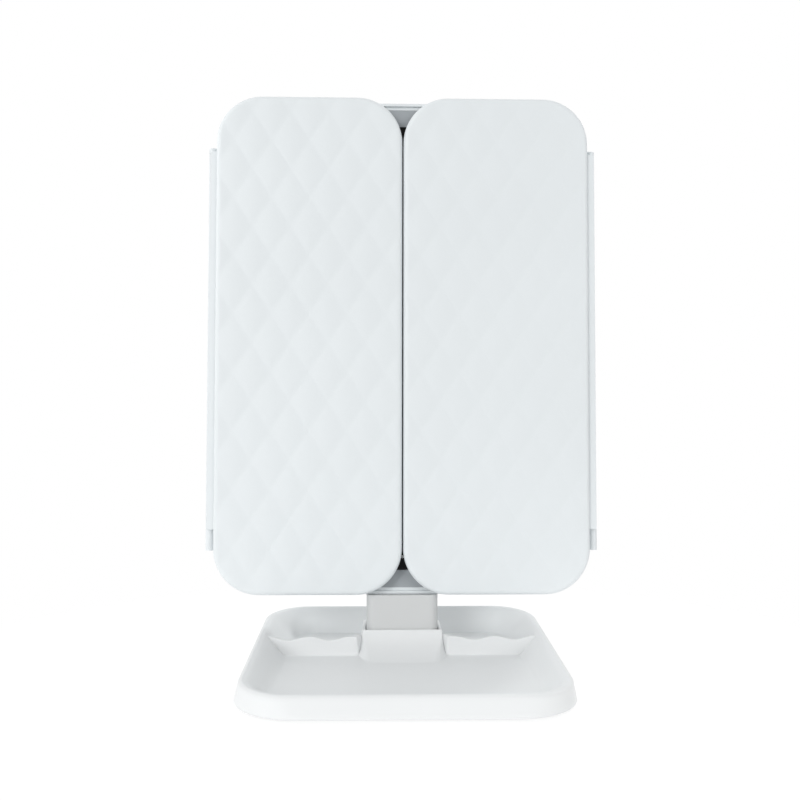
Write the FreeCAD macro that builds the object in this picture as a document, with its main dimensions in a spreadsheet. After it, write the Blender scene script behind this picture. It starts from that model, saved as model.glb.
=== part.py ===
"""Trifold vanity mirror: an upright lit mirror with two quilted wings that close over it like
cupboard doors, on a neck that tilts in the socket of a small storage tray.

Frame of the whole object: +Z up, the mirror looks along -Y, origin under the middle of the tray.
Head and wings are drawn in a flat local frame (x to the right, y up, z towards the user), whose
origin is the middle of the head's front plane.
"""

import FreeCAD, Part
import math
import os
import re
import Sketcher
from FreeCAD import Placement, Rotation, Vector

os.makedirs("parts", exist_ok=True)
doc = FreeCAD.newDocument("trifold_mirror")

# ---------------------------------------------------------------------------------- sizes
SIZES = {
    # wings, closed over the head
    "wing_height": 240.0,
    "wing_width": 89.7,
    "wing_thickness": 7.0,
    "wing_corner": 22.0,
    "wing_edge_round": 2.6,
    "wing_split": 0.6,
    "wing_standoff": 0.3,
    "wing_lift": 0.6,
    "wing_skin": 1.6,
    "wing_wall": 1.4,
    "wing_lip": 0.7,
    "wing_plate": 1.2,
    "wing_border": 3.7,
    "wing_rebate": 2.7,
    "wing_pane_thickness": 2.0,
    "wing_flange": 1.2,
    "wing_flange_reach": 3.6,
    "wing_crossbar": 3.0,
    "magnifier_hollow": 1.0,
    # quilting of the wing faces
    "quilt_pitch": 15.3,
    "quilt_lean": 33.0,
    "groove_width": 5.2,
    "groove_depth": 0.55,
    # head
    "head_inset": 0.8,
    "head_depth": 20.0,
    "head_wall": 2.0,
    "head_back_round": 6.0,
    "head_front_y": 22.3,
    "head_bottom_z": 32.1,
    "bezel_depth": 3.0,
    "bezel_rim": 1.5,
    "bezel_band": 2.0,
    "bezel_step": 0.6,
    "bezel_lip": 0.8,
    "bezel_round": 0.6,
    "light_band": 7.8,
    "pane_thickness": 2.0,
    "light_tray_depth": 3.5,
    "light_tray_panel": 1.2,
    "touch_window": 14.0,
    "channel_width": 6.0,
    "channel_depth": 2.7,
    "strip_width": 4.6,
    "led_pitch": 16.0,
    "led_rows": 13,
    "led_columns": 8,
    "led_board": 0.3,
    "led_side": 2.8,
    "led_height": 0.8,
    "head_post": 8.0,
    "head_screw": 2.6,
    "head_screw_head": 5.0,
    "head_well": 8.0,
    "head_screw_cap": 1.6,
    "post_meet": 5.0,
    "head_post_inset_x": 15.2,
    "head_post_inset_y": 20.0,
    # wing hinges
    "hinge_offset": 2.4,
    "barrel_radius": 2.1,
    "hinge_pin": 1.8,
    "hinge_bottom": 21.3,
    "hinge_top_inset": 24.0,
    "lower_knuckle": 10.0,
    "upper_knuckle": 2.0,
    "knuckle_gap": 0.3,
    "pin_end": 0.5,
    "knuckle_web": 4.0,
    "knuckle_root": 2.5,
    # tray base
    "base_width": 140.4,
    "base_depth": 129.4,
    "base_corner": 28.0,
    "rim_width": 136.0,
    "rim_depth": 125.1,
    "rim_corner": 21.3,
    "rim_front": 9.4,
    "rim_rear": 18.8,
    "tray_wall": 2.0,
    "floor_top": 5.3,
    "floor_skin": 1.6,
    "floor_side_slope": 6.5,
    "floor_front_slope": 5.0,
    "floor_rear_slope": 2.5,
    "floor_corner": 15.0,
    "divider_y": 15.0,
    "divider_thickness": 2.6,
    "divider_height": 8.5,
    "wave_length": 19.3,
    "wave_depth": 1.7,
    "wave_inset": 5.0,
    "base_lip": 2.2,
    "boss_width": 38.0,
    "boss_foot": 43.0,
    "boss_top": 16.0,
    "boss_wall": 1.3,
    "boss_blend": 10.0,
    "boss_reach": 22.0,
    "base_plate": 1.2,
    "ballast": 1.6,
    "foot_height": 0.8,
    "foot_recess": 0.4,
    "foot_diameter": 12.0,
    "foot_inset_x": 20.2,
    "foot_inset_y": 18.7,
    "base_screw": 2.2,
    "base_screw_head": 4.2,
    "base_post": 7.0,
    "base_post_inset": 12.2,
    "base_post_y": 30.0,
    "base_screw_length": 3.6,
    "base_screw_cap": 0.7,
    "screw_seat": 0.7,
    "bracket_screw": 2.0,
    "bracket_screw_head": 3.8,
    "bracket_screw_cap": 0.7,
    "bracket_screw_x": 15.8,
    "bracket_screw_y": 6.0,
    "ballast_inset": 5.0,
    "ballast_window": 2.0,
    "pilot_skin": 0.5,
    # neck and its tilt hinge
    "neck_width": 34.3,
    "neck_depth": 16.0,
    "neck_corner": 4.0,
    "neck_front_y": 19.5,
    "neck_top_gap": 0.5,
    "tilt_z": 9.5,
    "tilt_shaft": 4.0,
    "tilt_barrel": 11.0,
    "tilt_barrel_width": 26.0,
    "tilt_range": 20.0,
    "ear_radius": 4.0,
    "ear_thickness": 1.5,
    "washer": 0.6,
    "collar_width": 30.0,
    "collar_depth": 5.8,
    "collar_height": 25.0,
    "collar_corner": 1.0,
    "collar_screw": 2.8,
    "collar_post": 7.0,
    "collar_screw_head": 5.0,
    "collar_screw_cap": 1.4,
    "collar_screw_drop": 6.0,
    "collar_thread": 3.0,
    "collar_root": 3.0,
    "bracket_foot": 1.2,
    "bracket_margin": 2.5,
    "shaft_cap": 1.2,
    "shaft_cap_rim": 1.3,
    "neck_side_wall": 4.5,
    "neck_front_wall": 4.0,
    "neck_well_rim": 2.5,
    "neck_well_corner": 2.0,
    "neck_lid": 1.6,
    # battery bay, switch, inlet
    "cell_diameter": 10.5,
    "cell_length": 44.5,
    "cell_button": 1.0,
    "cell_button_width": 3.8,
    "spring_width": 5.6,
    "cell_pitch": 10.9,
    "cell_gap": 1.0,
    "cell_count": 4,
    "bay_end": 4.4,
    "bay_wall": 1.2,
    "bay_y": -42.0,
    "door_thickness": 1.6,
    "door_lap": 2.2,
    "grip_length": 14.0,
    "grip_width": 1.0,
    "grip_pitch": 2.4,
    "grip_depth": 0.5,
    "bay_corner": 1.0,
    "board_width": 46.0,
    "board_height": 26.0,
    "board_thickness": 1.6,
    "board_x": 47.5,
    "board_inset": 35.2,
    "board_standoff": 6.0,
    "board_post": 5.0,
    "board_screw": 2.0,
    "board_screw_length": 5.0,
    "board_screw_head": 3.8,
    "board_screw_cap": 1.0,
    "board_screw_inset": 3.0,
    "board_corner": 1.5,
    "chip_height": 1.1,
    "jack_width": 9.0,
    "jack_height": 3.3,
    "jack_shell": 0.4,
    "jack_depth": 5.0,
    "jack_tongue": 0.7,
    "jack_inset": 0.6,
    "jack_x": 61.0,
    "switch_x": 41.0,
    "switch_travel": 3.0,
    "switch_length": 11.0,
    "switch_width": 5.0,
    "switch_height": 4.0,
    "switch_slot": 1.5,
    "knob_proud": 0.8,
    "knob_side": 3.2,
    "knob_corner": 0.5,
    "knob_tail": 2.2,
    "knob_ridge": 0.35,
    "contact_plate": 0.4,
    "contact_width": 8.6,
    "touch_pad": 12.0,
    "touch_foil": 0.6,
    "touch_inset": 21.2,
    # fits
    "fit": 0.1,
    "running_fit": 0.06,
    "gap": 0.3,
}

DERIVED = {
    "head_width": "2 * wing_width + wing_split - 2 * head_inset",
    "head_height": "wing_height",
    "head_corner": "wing_corner - head_inset",
    "head_post_x": "head_width / 2 - head_post_inset_x",
    "head_post_y": "head_height / 2 - head_post_inset_y",
    "head_middle_z": "head_bottom_z + head_height / 2",
    "bezel_width": "bezel_rim + bezel_band",
    "glass_front": "-(bezel_step + bezel_lip + fit / 2)",
    "glass_back": "glass_front - pane_thickness",
    "tray_front": "glass_back - fit / 2",
    "light_tray_back": "tray_front - light_tray_depth",
    "channel_inset": "bezel_width + (light_band - channel_width) / 2",
    "wing_middle_x": "(wing_width + wing_split) / 2",
    "wing_front": "wing_standoff + wing_thickness",
    "hinge_x": "wing_width + wing_split / 2 + hinge_offset",
    "hinge_z": "wing_standoff / 2",
    "web_end_x": "hinge_x + barrel_radius / 2",
    "knuckle_split": "hinge_bottom + lower_knuckle - head_height / 2",
    "knuckle_low": "hinge_bottom - head_height / 2",
    "knuckle_high": "head_height / 2 - hinge_top_inset",
    "tilt_y": "neck_front_y + neck_depth / 2",
    "shoulder_z": "tilt_z + ear_radius + gap + fit",
    "neck_top_z": "head_bottom_z - neck_top_gap",
    "plate_top": "foot_height + base_plate",
    "base_post_x": "base_width / 2 - base_post_inset",
    "foot_x": "base_width / 2 - foot_inset_x",
    "foot_y": "base_depth / 2 - foot_inset_y",
    "wave_end": "rim_width / 2 - wave_inset",
    "screw_face": "foot_height + screw_seat - base_screw_cap",
    "cell_z": "-head_depth + door_thickness + gap + cell_diameter / 2",
    "wing_back": "wing_standoff + wing_plate",
    "pane_face": "wing_standoff + wing_lip",
    "pane_reach": "sqrt(wing_width^2 + wing_height^2 / 4) / 2",
    "hollow_radius": "(pane_reach^2 + magnifier_hollow^2) / (2 * magnifier_hollow)",
    "wing_web": "wing_standoff + gap / 2",
    "wing_knuckle_low": "knuckle_split + knuckle_gap - wing_lift",
    "wing_knuckle_high": "knuckle_high - upper_knuckle - knuckle_gap - wing_lift",
    "quilt_reach": "wing_width * cos(quilt_lean) + wing_height * sin(quilt_lean)",
    "quilt_rows": "2 * ceil(quilt_reach / 2 / quilt_pitch)",
    "floor_under": "floor_top - floor_skin",
    "boss_front_y": "neck_front_y - gap - boss_wall",
    "neck_lean_y": "neck_depth / 2 / cos(tilt_range) + (boss_top - tilt_z) * tan(tilt_range)",
    "slot_back_y": "tilt_y + neck_lean_y + gap",
    "collar_front": "light_tray_back - gap - fit",
    "collar_screw_z": "neck_top_z + collar_height - collar_screw_drop",
    "collar_screw_y": "collar_screw_z - head_middle_z",
    "collar_y": "head_front_y - collar_front + collar_depth / 2",
    "ear_x": "tilt_barrel_width / 2 + washer + gap",
    "shaft_end": "ear_x + ear_thickness + shaft_cap",
    "slot_width": "neck_width + 2 * gap",
    "slot_depth": "slot_back_y - neck_front_y + gap",
    "slot_y": "(neck_front_y - gap + slot_back_y) / 2",
    "neck_well_width": "neck_width - 2 * neck_side_wall",
    "neck_well_height": "neck_top_z - boss_top - 2 * neck_well_rim",
    "neck_back_y": "tilt_y + neck_depth / 2",
    "touch_y": "touch_inset - head_height / 2",
    "board_y": "board_inset - head_height / 2",
    "bay_width": "cell_count * cell_pitch + cell_gap",
    "bay_height": "cell_length + 2 * bay_end",
    "bay_front": "-head_depth + door_thickness + cell_diameter + 2 * gap",
    "board_back": "-head_depth + head_wall + board_standoff",
    "switch_face": "board_back - switch_height",
    "switch_middle": "switch_x + switch_travel / 2",
    "knob_run": "knob_side + switch_travel + 2 * gap",
}

sheet = doc.addObject("Spreadsheet::Sheet", "Sizes")
for row, (name, number) in enumerate(list(SIZES.items()) + list(DERIVED.items()), start=1):
    sheet.set(f"A{row}", name)
    sheet.set(f"B{row}", f"={number}" if isinstance(number, str) else str(number))
    sheet.setAlias(f"B{row}", name)
doc.recompute()

NAMES = set(SIZES) | set(DERIVED)


def full(expression):
    """The expression with every size name written as a reference to the sheet."""

    def reference(word):
        return f"Sizes.{word.group()}" if word.group() in NAMES else word.group()

    return re.sub(r"[a-z_]+", reference, expression)


def value(expression):
    """The number that an expression of sizes has now."""
    result = sheet.evalExpression(full(expression))
    return float(getattr(result, "Value", result))


def bind(thing, prop, expression):
    thing.setExpression(prop, full(expression))


# ------------------------------------------------------------------------- sketches and features
HEAD_TURN = Rotation(Vector(1, 0, 0), 90)


def body(label, x="0", y="0", z="0", turn=Rotation(), several=False):
    """A new body placed at x, y, z; several allows a group of separate solids."""
    made = doc.addObject("PartDesign::Body", label)
    made.Label = label
    made.AllowCompound = several
    made.Placement = Placement(Vector(value(x), value(y), value(z)), turn)
    for axis, expression in zip("xyz", (x, y, z)):
        bind(made, f"Placement.Base.{axis}", expression)
    return made


def head_body(label, x="0", y="0", z="0", several=False):
    """A body in the head's flat frame: local z towards the user, moved by x, y, z in that frame."""
    return body(label, x, f"head_front_y - ({z})", f"head_middle_z + ({y})", HEAD_TURN, several)


def sketch(owner, plane="XY_Plane", x="0", y="0", z="0", turn=None):
    """A sketch on an origin plane of its body, moved by x, y, z and turned as (axis, angle)."""
    made = owner.newObject("Sketcher::SketchObject", "Sketch")
    support = next(part for part in owner.Origin.OriginFeatures if part.Role == plane)
    made.AttachmentSupport = [(support, "")]
    made.MapMode = "FlatFace"
    rotation = Rotation(turn[0], value(turn[1])) if turn else Rotation()
    made.AttachmentOffset = Placement(Vector(value(x), value(y), value(z)), rotation)
    for axis, expression in zip("xyz", (x, y, z)):
        bind(made, f"AttachmentOffset.Base.{axis}", expression)
    if turn:
        bind(made, "AttachmentOffset.Rotation.Angle", turn[1])
    return made


def drive(drawing, kind, references, expression):
    """A dimension of a sketch that follows an expression."""
    index = drawing.addConstraint(Sketcher.Constraint(kind, *references, value(expression)))
    bind(drawing, f"Constraints[{index}]", expression)


def pin_point(drawing, geometry, position, x, y):
    """Holds one point of a sketch at x, y from the sketch's origin."""
    for kind, expression, axis in (("DistanceX", x, -2), ("DistanceY", y, -1)):
        if expression == "0":
            drawing.addConstraint(Sketcher.Constraint("PointOnObject", geometry, position, axis))
        else:
            drive(drawing, kind, (-1, 1, geometry, position), expression)


def rounded(drawing, width, height, corner, x="0", y="0"):
    """A rectangle with four equal round corners about the point x, y."""
    w, h, r = value(width) / 2, value(height) / 2, value(corner)
    cx, cy = value(x), value(y)
    first = drawing.GeometryCount
    turns = ((1, -1, 270), (1, 1, 0), (-1, 1, 90), (-1, -1, 180))
    ends = []
    for sx, sy, start in turns:
        centre = Vector(cx + sx * (w - r), cy + sy * (h - r), 0)
        circle = Part.Circle(centre, Vector(0, 0, 1), r)
        arc = Part.ArcOfCircle(circle, math.radians(start), math.radians(start + 90))
        drawing.addGeometry(arc)
        ends.append((arc.StartPoint, arc.EndPoint))
    for k in range(4):
        drawing.addGeometry(Part.LineSegment(ends[k][1], ends[(k + 1) % 4][0]))
    for k in range(4):
        line = first + 4 + k
        drawing.addConstraint(Sketcher.Constraint("Tangent", first + k, 2, line, 1))
        drawing.addConstraint(Sketcher.Constraint("Tangent", line, 2, first + (k + 1) % 4, 1))
        drawing.addConstraint(Sketcher.Constraint("Horizontal" if k % 2 else "Vertical", line))
    for k in range(1, 4):
        drawing.addConstraint(Sketcher.Constraint("Equal", first, first + k))
    drive(drawing, "Radius", (first,), corner)
    drive(drawing, "DistanceX", (first + 3, 3, first, 3), f"({width}) - 2 * ({corner})")
    drive(drawing, "DistanceY", (first, 3, first + 1, 3), f"({height}) - 2 * ({corner})")
    middle_x, middle_y = f"({x}) + ({width}) / 2 - ({corner})", f"({y}) + ({height}) / 2 - ({corner})"
    pin_point(drawing, first + 1, 3, middle_x, middle_y)


def outline(drawing, points, arcs=None):
    """A closed outline through points given as pairs of expressions. Its sides are straight, apart
    from arcs: {side number: (radius, turn)}, where turn is 1 to bend left and -1 to bend right."""
    arcs = arcs or {}
    spots = [Vector(value(x), value(y), 0) for x, y in points]
    first = drawing.GeometryCount
    count = len(points)
    ends = []
    for k, start in enumerate(spots):
        end = spots[(k + 1) % count]
        if k not in arcs:
            drawing.addGeometry(Part.LineSegment(start, end))
            ends.append((1, 2))
            continue
        radius, turn = value(arcs[k][0]), arcs[k][1]
        chord = end - start
        rise = math.sqrt(radius * radius - chord.Length * chord.Length / 4)
        left = Vector(-chord.y, chord.x, 0).normalize()
        centre = (start + end) * 0.5 + left * (turn * rise)
        low, high = (start, end) if turn > 0 else (end, start)
        angles = [math.atan2(spot.y - centre.y, spot.x - centre.x) for spot in (low, high)]
        drawing.addGeometry(Part.ArcOfCircle(Part.Circle(centre, Vector(0, 0, 1), radius), *angles))
        ends.append((1, 2) if turn > 0 else (2, 1))
    for k, (x, y) in enumerate(points):
        after = (k + 1) % count
        drawing.addConstraint(
            Sketcher.Constraint("Coincident", first + k, ends[k][1], first + after, ends[after][0])
        )
        pin_point(drawing, first + k, ends[k][0], x, y)
    for k, (radius, _) in arcs.items():
        drive(drawing, "Radius", (first + k,), radius)


def rectangle(drawing, width, height, x="0", y="0"):
    """A plain rectangle about the point x, y."""
    right, left = f"({x}) + ({width}) / 2", f"({x}) - ({width}) / 2"
    top, bottom = f"({y}) + ({height}) / 2", f"({y}) - ({height}) / 2"
    outline(drawing, ((left, bottom), (right, bottom), (right, top), (left, top)))


def circle(drawing, diameter, x="0", y="0"):
    middle = Vector(value(x), value(y), 0)
    index = drawing.addGeometry(Part.Circle(middle, Vector(0, 0, 1), value(diameter) / 2))
    drive(drawing, "Diameter", (index,), diameter)
    pin_point(drawing, index, 3, x, y)


def pad(owner, drawing, length, backwards=False, both=False):
    """Extrudes a sketch; both spreads the length to either side of its plane."""
    made = owner.newObject("PartDesign::Pad", "Pad")
    made.Profile = drawing
    made.Reversed = backwards
    made.SideType = "Symmetric" if both else "One side"
    bind(made, "Length", length)
    drawing.Visibility = False
    return made


def pocket(owner, drawing, length=None, backwards=False, both=False):
    """Cuts a sketch to a depth, or right through where no depth is given."""
    made = owner.newObject("PartDesign::Pocket", "Pocket")
    made.Profile = drawing
    made.Reversed = backwards
    made.SideType = "Symmetric" if both else "One side"
    made.Type = "Length" if length else "ThroughAll"
    if length:
        bind(made, "Length", length)
    drawing.Visibility = False
    return made


def loft(owner, kind, lower, upper):
    made = owner.newObject(f"PartDesign::{kind}Loft", "Loft")
    made.Profile = lower
    made.Sections = [upper]
    made.Ruled = True
    return made


def edges(feature, wanted):
    """The names of a feature's edges whose bounding box passes the test."""
    found = [f"Edge{k}" for k, edge in enumerate(feature.Shape.Edges, start=1) if wanted(edge)]
    if not found:
        raise RuntimeError(f"no edge of {feature.Label} answers the test")
    return found


def soften(owner, wanted, radius, kind="Fillet"):
    """A fillet or chamfer on the chosen edges of the body's last feature."""
    doc.recompute()
    base = owner.Tip
    made = owner.newObject(f"PartDesign::{kind}", kind)
    made.Base = (base, edges(base, wanted))
    bind(made, "Radius" if kind == "Fillet" else "Size", radius)
    return made


def flat_at(axis, expression, tolerance=1e-4):
    """A test for edges that lie wholly in one plane square to an axis."""
    level = value(expression)

    def wanted(edge):
        box = edge.BoundBox
        low, high = getattr(box, f"{axis.upper()}Min"), getattr(box, f"{axis.upper()}Max")
        return abs(low - level) < tolerance and abs(high - level) < tolerance

    return wanted


def cylinder(label, diameter, height, place, turn=Rotation()):
    """A Part cylinder whose base centre and size follow expressions."""
    made = doc.addObject("Part::Cylinder", label)
    made.Label = label
    made.Placement = Placement(Vector(*(value(term) for term in place)), turn)
    bind(made, "Radius", f"({diameter}) / 2")
    bind(made, "Height", height)
    for axis, expression in zip("xyz", place):
        bind(made, f"Placement.Base.{axis}", expression)
    return made


def group(label, pieces):
    """Several Part solids kept as one sub-part."""
    made = doc.addObject("Part::Compound", label)
    made.Label = label
    made.Links = pieces
    return made


def fused(label, pieces):
    made = doc.addObject("Part::MultiFuse", label)
    made.Label = label
    made.Shapes = pieces
    return made


def screws(owner, spots, level, kind, length, backwards=False):
    """Equal screws at the spots. Their sizes are those named after kind, level is the outer face of
    their heads, and they point along +z, or along -z when backwards."""
    for diameter, reach in ((f"{kind}_head", f"{kind}_cap"), (kind, length)):
        circles = sketch(owner, z=level)
        for x, y in spots:
            circle(circles, diameter, x, y)
        pad(owner, circles, reach, backwards)
    return owner


FOUR = ((1, 1), (-1, 1), (-1, -1), (1, -1))


# ---------------------------------------------------------------------------------- tray base
def base_outline(drawing, inset="0"):
    """The tray's rounded footprint, drawn in by inset on every side."""
    rounded(
        drawing,
        f"base_width - 2 * ({inset})",
        f"base_depth - 2 * ({inset})",
        f"base_corner - ({inset})",
    )


def rim_sketch(owner, inset):
    """The rim's outline in its own plane, which climbs from the front edge to the rear edge."""
    slope = "atan((rim_rear - rim_front) / rim_depth)"
    made = sketch(owner, z="(rim_front + rim_rear) / 2", turn=(Vector(1, 0, 0), slope))
    rounded(
        made,
        f"rim_width - 2 * ({inset})",
        f"rim_depth / cos({slope}) - 2 * ({inset})",
        f"rim_corner - ({inset})",
    )
    return made


def divider_profile(drawing, side):
    """One divider seen from the front: level beside the socket, then two scallops out to the tray's
    side wall. The arcs of the wave all have one radius and meet on its middle line without a corner."""
    radius = "((wave_length / 4)^2 + (wave_depth / 2)^2) / wave_depth"
    foot, top = "floor_top - floor_skin / 2", "floor_top + divider_height"
    middle = f"{top} - wave_depth / 2"
    inner, outer = f"{side} * (boss_width / 2 - 1)", f"{side} * (rim_width - tray_wall) / 2"
    turns = [(f"{side} * (wave_end - {k} * wave_length / 4)", middle) for k in (1, 3, 5, 7)]
    points = [(inner, foot), (outer, foot), (outer, top), (f"{side} * wave_end", top)]
    points += turns + [(f"{side} * (wave_end - 2 * wave_length)", top), (inner, top)]
    arcs = {k: (radius, side if k % 2 else -side) for k in range(3, 8)}
    outline(drawing, points, arcs)


def socket_blend(owner):
    """The long hollow curve by which the socket's front runs out onto the tray floor."""
    foot = "floor_top - floor_skin / 2"
    radius = "(boss_reach^2 + boss_blend^2) / (2 * boss_blend)"
    drawing = sketch(owner, "YZ_Plane")
    outline(
        drawing,
        (
            ("boss_front_y + boss_wall / 2", foot),
            ("boss_front_y + boss_wall / 2", "floor_top + boss_blend"),
            ("boss_front_y", "floor_top + boss_blend"),
            ("boss_front_y - boss_reach", "floor_top"),
            ("boss_front_y - boss_reach", foot),
        ),
        {2: (radius, -1)},
    )
    pad(owner, drawing, "(boss_width + boss_foot) / 2", both=True)


def base_tray():
    made = body("base_tray")
    under = sketch(made, z="foot_height")
    base_outline(under)
    loft(made, "Additive", under, rim_sketch(made, "0"))
    floor = sketch(made, z="floor_top", y="(floor_front_slope - floor_rear_slope) / 2")
    rounded(
        floor,
        "rim_width - 2 * tray_wall - 2 * floor_side_slope",
        "rim_depth - 2 * tray_wall - floor_front_slope - floor_rear_slope",
        "floor_corner",
    )
    loft(made, "Subtractive", floor, rim_sketch(made, "tray_wall"))
    for side in (-1, 1):
        divider = sketch(made, "XZ_Plane", z="-divider_y")
        divider_profile(divider, side)
        pad(made, divider, "divider_thickness", backwards=True)
    block = sketch(made, "XZ_Plane", z="-boss_front_y")
    outline(
        block,
        (
            ("-boss_foot / 2", "floor_top - floor_skin / 2"),
            ("boss_foot / 2", "floor_top - floor_skin / 2"),
            ("boss_width / 2", "boss_top"),
            ("-boss_width / 2", "boss_top"),
        ),
    )
    pad(made, block, "slot_back_y + boss_wall - boss_front_y", backwards=True)
    socket_blend(made)
    slot = sketch(made, y="slot_y")
    rectangle(slot, "slot_width", "slot_depth")
    pocket(made, slot, backwards=True)
    hollow = sketch(made)
    base_outline(hollow, "base_lip")
    pocket(made, hollow, "floor_under", backwards=True)
    posts = sketch(made, z="plate_top")
    for x, y in base_spots():
        circle(posts, "base_post", x, y)
    pad(made, posts, "floor_under - plate_top + floor_skin / 2")
    pilots = sketch(made, z="plate_top")
    for x, y in base_spots():
        circle(pilots, "base_screw", x, y)
    pocket(made, pilots, "floor_top - pilot_skin - plate_top", backwards=True)
    return made


def base_plate():
    made = body("base_plate")
    plate = sketch(made, z="foot_height")
    base_outline(plate, "base_lip + gap")
    pad(made, plate, "base_plate")
    holes = sketch(made)
    for x, y in base_spots():
        circle(holes, "base_screw + 2 * fit", x, y)
    for x, y in bracket_spots():
        circle(holes, "bracket_screw + 2 * fit", x, y)
    pocket(made, holes, backwards=True)
    recesses = sketch(made)
    for sx, sy in FOUR:
        circle(recesses, "foot_diameter + 2 * fit", f"{sx} * foot_x", f"{sy} * foot_y")
    pocket(made, recesses, "foot_height + foot_recess", backwards=True)
    seats = sketch(made)
    for x, y in base_spots():
        circle(seats, "base_screw_head + 2 * fit", x, y)
    for x, y in bracket_spots():
        circle(seats, "bracket_screw_head + 2 * fit", x, y)
    pocket(made, seats, "foot_height + screw_seat", backwards=True)
    return made


def ballast_plate():
    """The steel weight that keeps the tall mirror from tipping."""
    made = body("ballast_plate")
    plate = sketch(made, z="plate_top")
    base_outline(plate, "ballast_inset")
    rectangle(plate, "slot_width + 2 * ballast_window", "slot_depth + 2 * ballast_window", "0", "slot_y")
    for x, y in base_spots():
        circle(plate, "base_post + 2 * gap", x, y)
    pad(made, plate, "ballast - fit")
    return made


def base_feet():
    made = body("base_feet", several=True)
    discs = sketch(made)
    for sx, sy in FOUR:
        circle(discs, "foot_diameter", f"{sx} * foot_x", f"{sy} * foot_y")
    pad(made, discs, "foot_height + foot_recess")
    return made


def base_spots():
    """Where the base plate's screws stand."""
    return [(f"{sx} * base_post_x", f"{sy} * base_post_y") for sx, sy in FOUR]


def bracket_spots():
    return [(f"{sx} * bracket_screw_x", f"tilt_y + {sy} * bracket_screw_y") for sx, sy in FOUR]


def base_screws():
    made = body("base_screws", several=True)
    return screws(made, base_spots(), "screw_face", "base_screw", "base_screw_length")


# ---------------------------------------------------------------------------------- tilt hinge
def hinge_lug(owner, middle, thickness, radius, foot):
    """A lug round the tilt axis: a round end, and a stem as wide that goes down or up to foot."""
    stem = sketch(owner, "YZ_Plane", z=middle)
    rectangle(stem, f"2 * {radius}", f"abs(tilt_z - ({foot}))", "tilt_y", f"(tilt_z + {foot}) / 2")
    pad(owner, stem, thickness, both=True)
    end = sketch(owner, "YZ_Plane", z=middle)
    circle(end, f"2 * {radius}", "tilt_y", "tilt_z")
    pad(owner, end, thickness, both=True)


def tilt_bracket():
    """A steel U bracket on the base plate, whose round-topped ears carry the tilt shaft."""
    made = body("tilt_bracket")
    foot = sketch(made, z="plate_top")
    rectangle(foot, "neck_width", "2 * (bracket_screw_y + bracket_margin)", "0", "tilt_y")
    pad(made, foot, "bracket_foot")
    for side in (-1, 1):
        middle = f"{side} * (ear_x + ear_thickness / 2)"
        hinge_lug(made, middle, "ear_thickness", "ear_radius", "plate_top + bracket_foot / 2")
    bore = sketch(made, "YZ_Plane")
    circle(bore, "tilt_shaft + 2 * running_fit", "tilt_y", "tilt_z")
    pocket(made, bore, both=True)
    holes = sketch(made)
    for x, y in bracket_spots():
        circle(holes, "bracket_screw", x, y)
    pocket(made, holes, backwards=True)
    return made


def bracket_screws():
    made = body("bracket_screws", several=True)
    length = "plate_top + bracket_foot - screw_face"
    return screws(made, bracket_spots(), "screw_face", "bracket_screw", length)


ALONG_X = Rotation(Vector(0, 1, 0), 90)


def tilt_shaft():
    """The pin that the neck turns on, with a head at one end and a lock nut at the other."""
    start, end = ("-shaft_end", "tilt_y", "tilt_z"), ("shaft_end - shaft_cap", "tilt_y", "tilt_z")
    width = "tilt_shaft + 2 * shaft_cap_rim"
    shank = cylinder("tilt_shaft_shank", "tilt_shaft", "2 * shaft_end", start, ALONG_X)
    head = cylinder("tilt_shaft_head", width, "shaft_cap", start, ALONG_X)
    nut = cylinder("tilt_shaft_nut", width, "shaft_cap", end, ALONG_X)
    return fused("tilt_shaft", [shank, head, nut])


def tilt_washers():
    """Friction washers between the neck's barrel and the bracket's ears."""
    rings = []
    for k, start in enumerate(("ear_x - washer", "-ear_x")):
        place = (start, "tilt_y", "tilt_z")
        disc = cylinder(f"washer_disc_{k}", "2 * (ear_radius - fit)", "washer", place, ALONG_X)
        bore = cylinder(f"washer_bore_{k}", "tilt_shaft + 2 * running_fit", "washer", place, ALONG_X)
        ring = doc.addObject("Part::Cut", f"washer_ring_{k}")
        ring.Base, ring.Tool = disc, bore
        rings.append(ring)
    return group("tilt_washers", rings)


def neck():
    """The upright: a soft-edged post over a barrel that turns on the shaft, with a collar that
    goes up into the head behind the light tray."""
    made = body("neck")
    post = sketch(made, y="tilt_y", z="shoulder_z")
    rounded(post, "neck_width", "neck_depth", "neck_corner")
    pad(made, post, "neck_top_z - shoulder_z")
    collar = sketch(made, y="collar_y", z="neck_top_z - collar_root")
    rounded(collar, "collar_width", "collar_depth", "collar_corner")
    pad(made, collar, "collar_height + collar_root")
    hinge_lug(made, "0", "tilt_barrel_width", "tilt_barrel / 2", "shoulder_z + 1")
    bore = sketch(made, "YZ_Plane")
    circle(bore, "tilt_shaft + 2 * running_fit", "tilt_y", "tilt_z")
    pocket(made, bore, both=True)
    well = sketch(made, "XZ_Plane", z="-neck_back_y")
    neck_well(well)
    pocket(made, well, "neck_depth - neck_front_wall", backwards=True)
    holes = sketch(made, "XZ_Plane")
    for side in (-1, 1):
        circle(holes, "collar_screw + 2 * fit", f"{side} * collar_width / 4", "collar_screw_z")
    pocket(made, holes)
    return made


def neck_well(drawing, inset="0"):
    """The hollow in the neck's back, drawn in by inset."""
    rounded(
        drawing,
        f"neck_well_width - 2 * ({inset})",
        f"neck_well_height - 2 * ({inset})",
        f"neck_well_corner - ({inset})",
        y="(neck_top_z + boss_top) / 2",
    )


def neck_cover():
    """The snap-in plate that closes the neck's hollow back."""
    made = body("neck_cover")
    plate = sketch(made, "XZ_Plane", z="-(neck_back_y - neck_lid)")
    neck_well(plate, "fit")
    pad(made, plate, "neck_lid", backwards=True)
    return made


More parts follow.
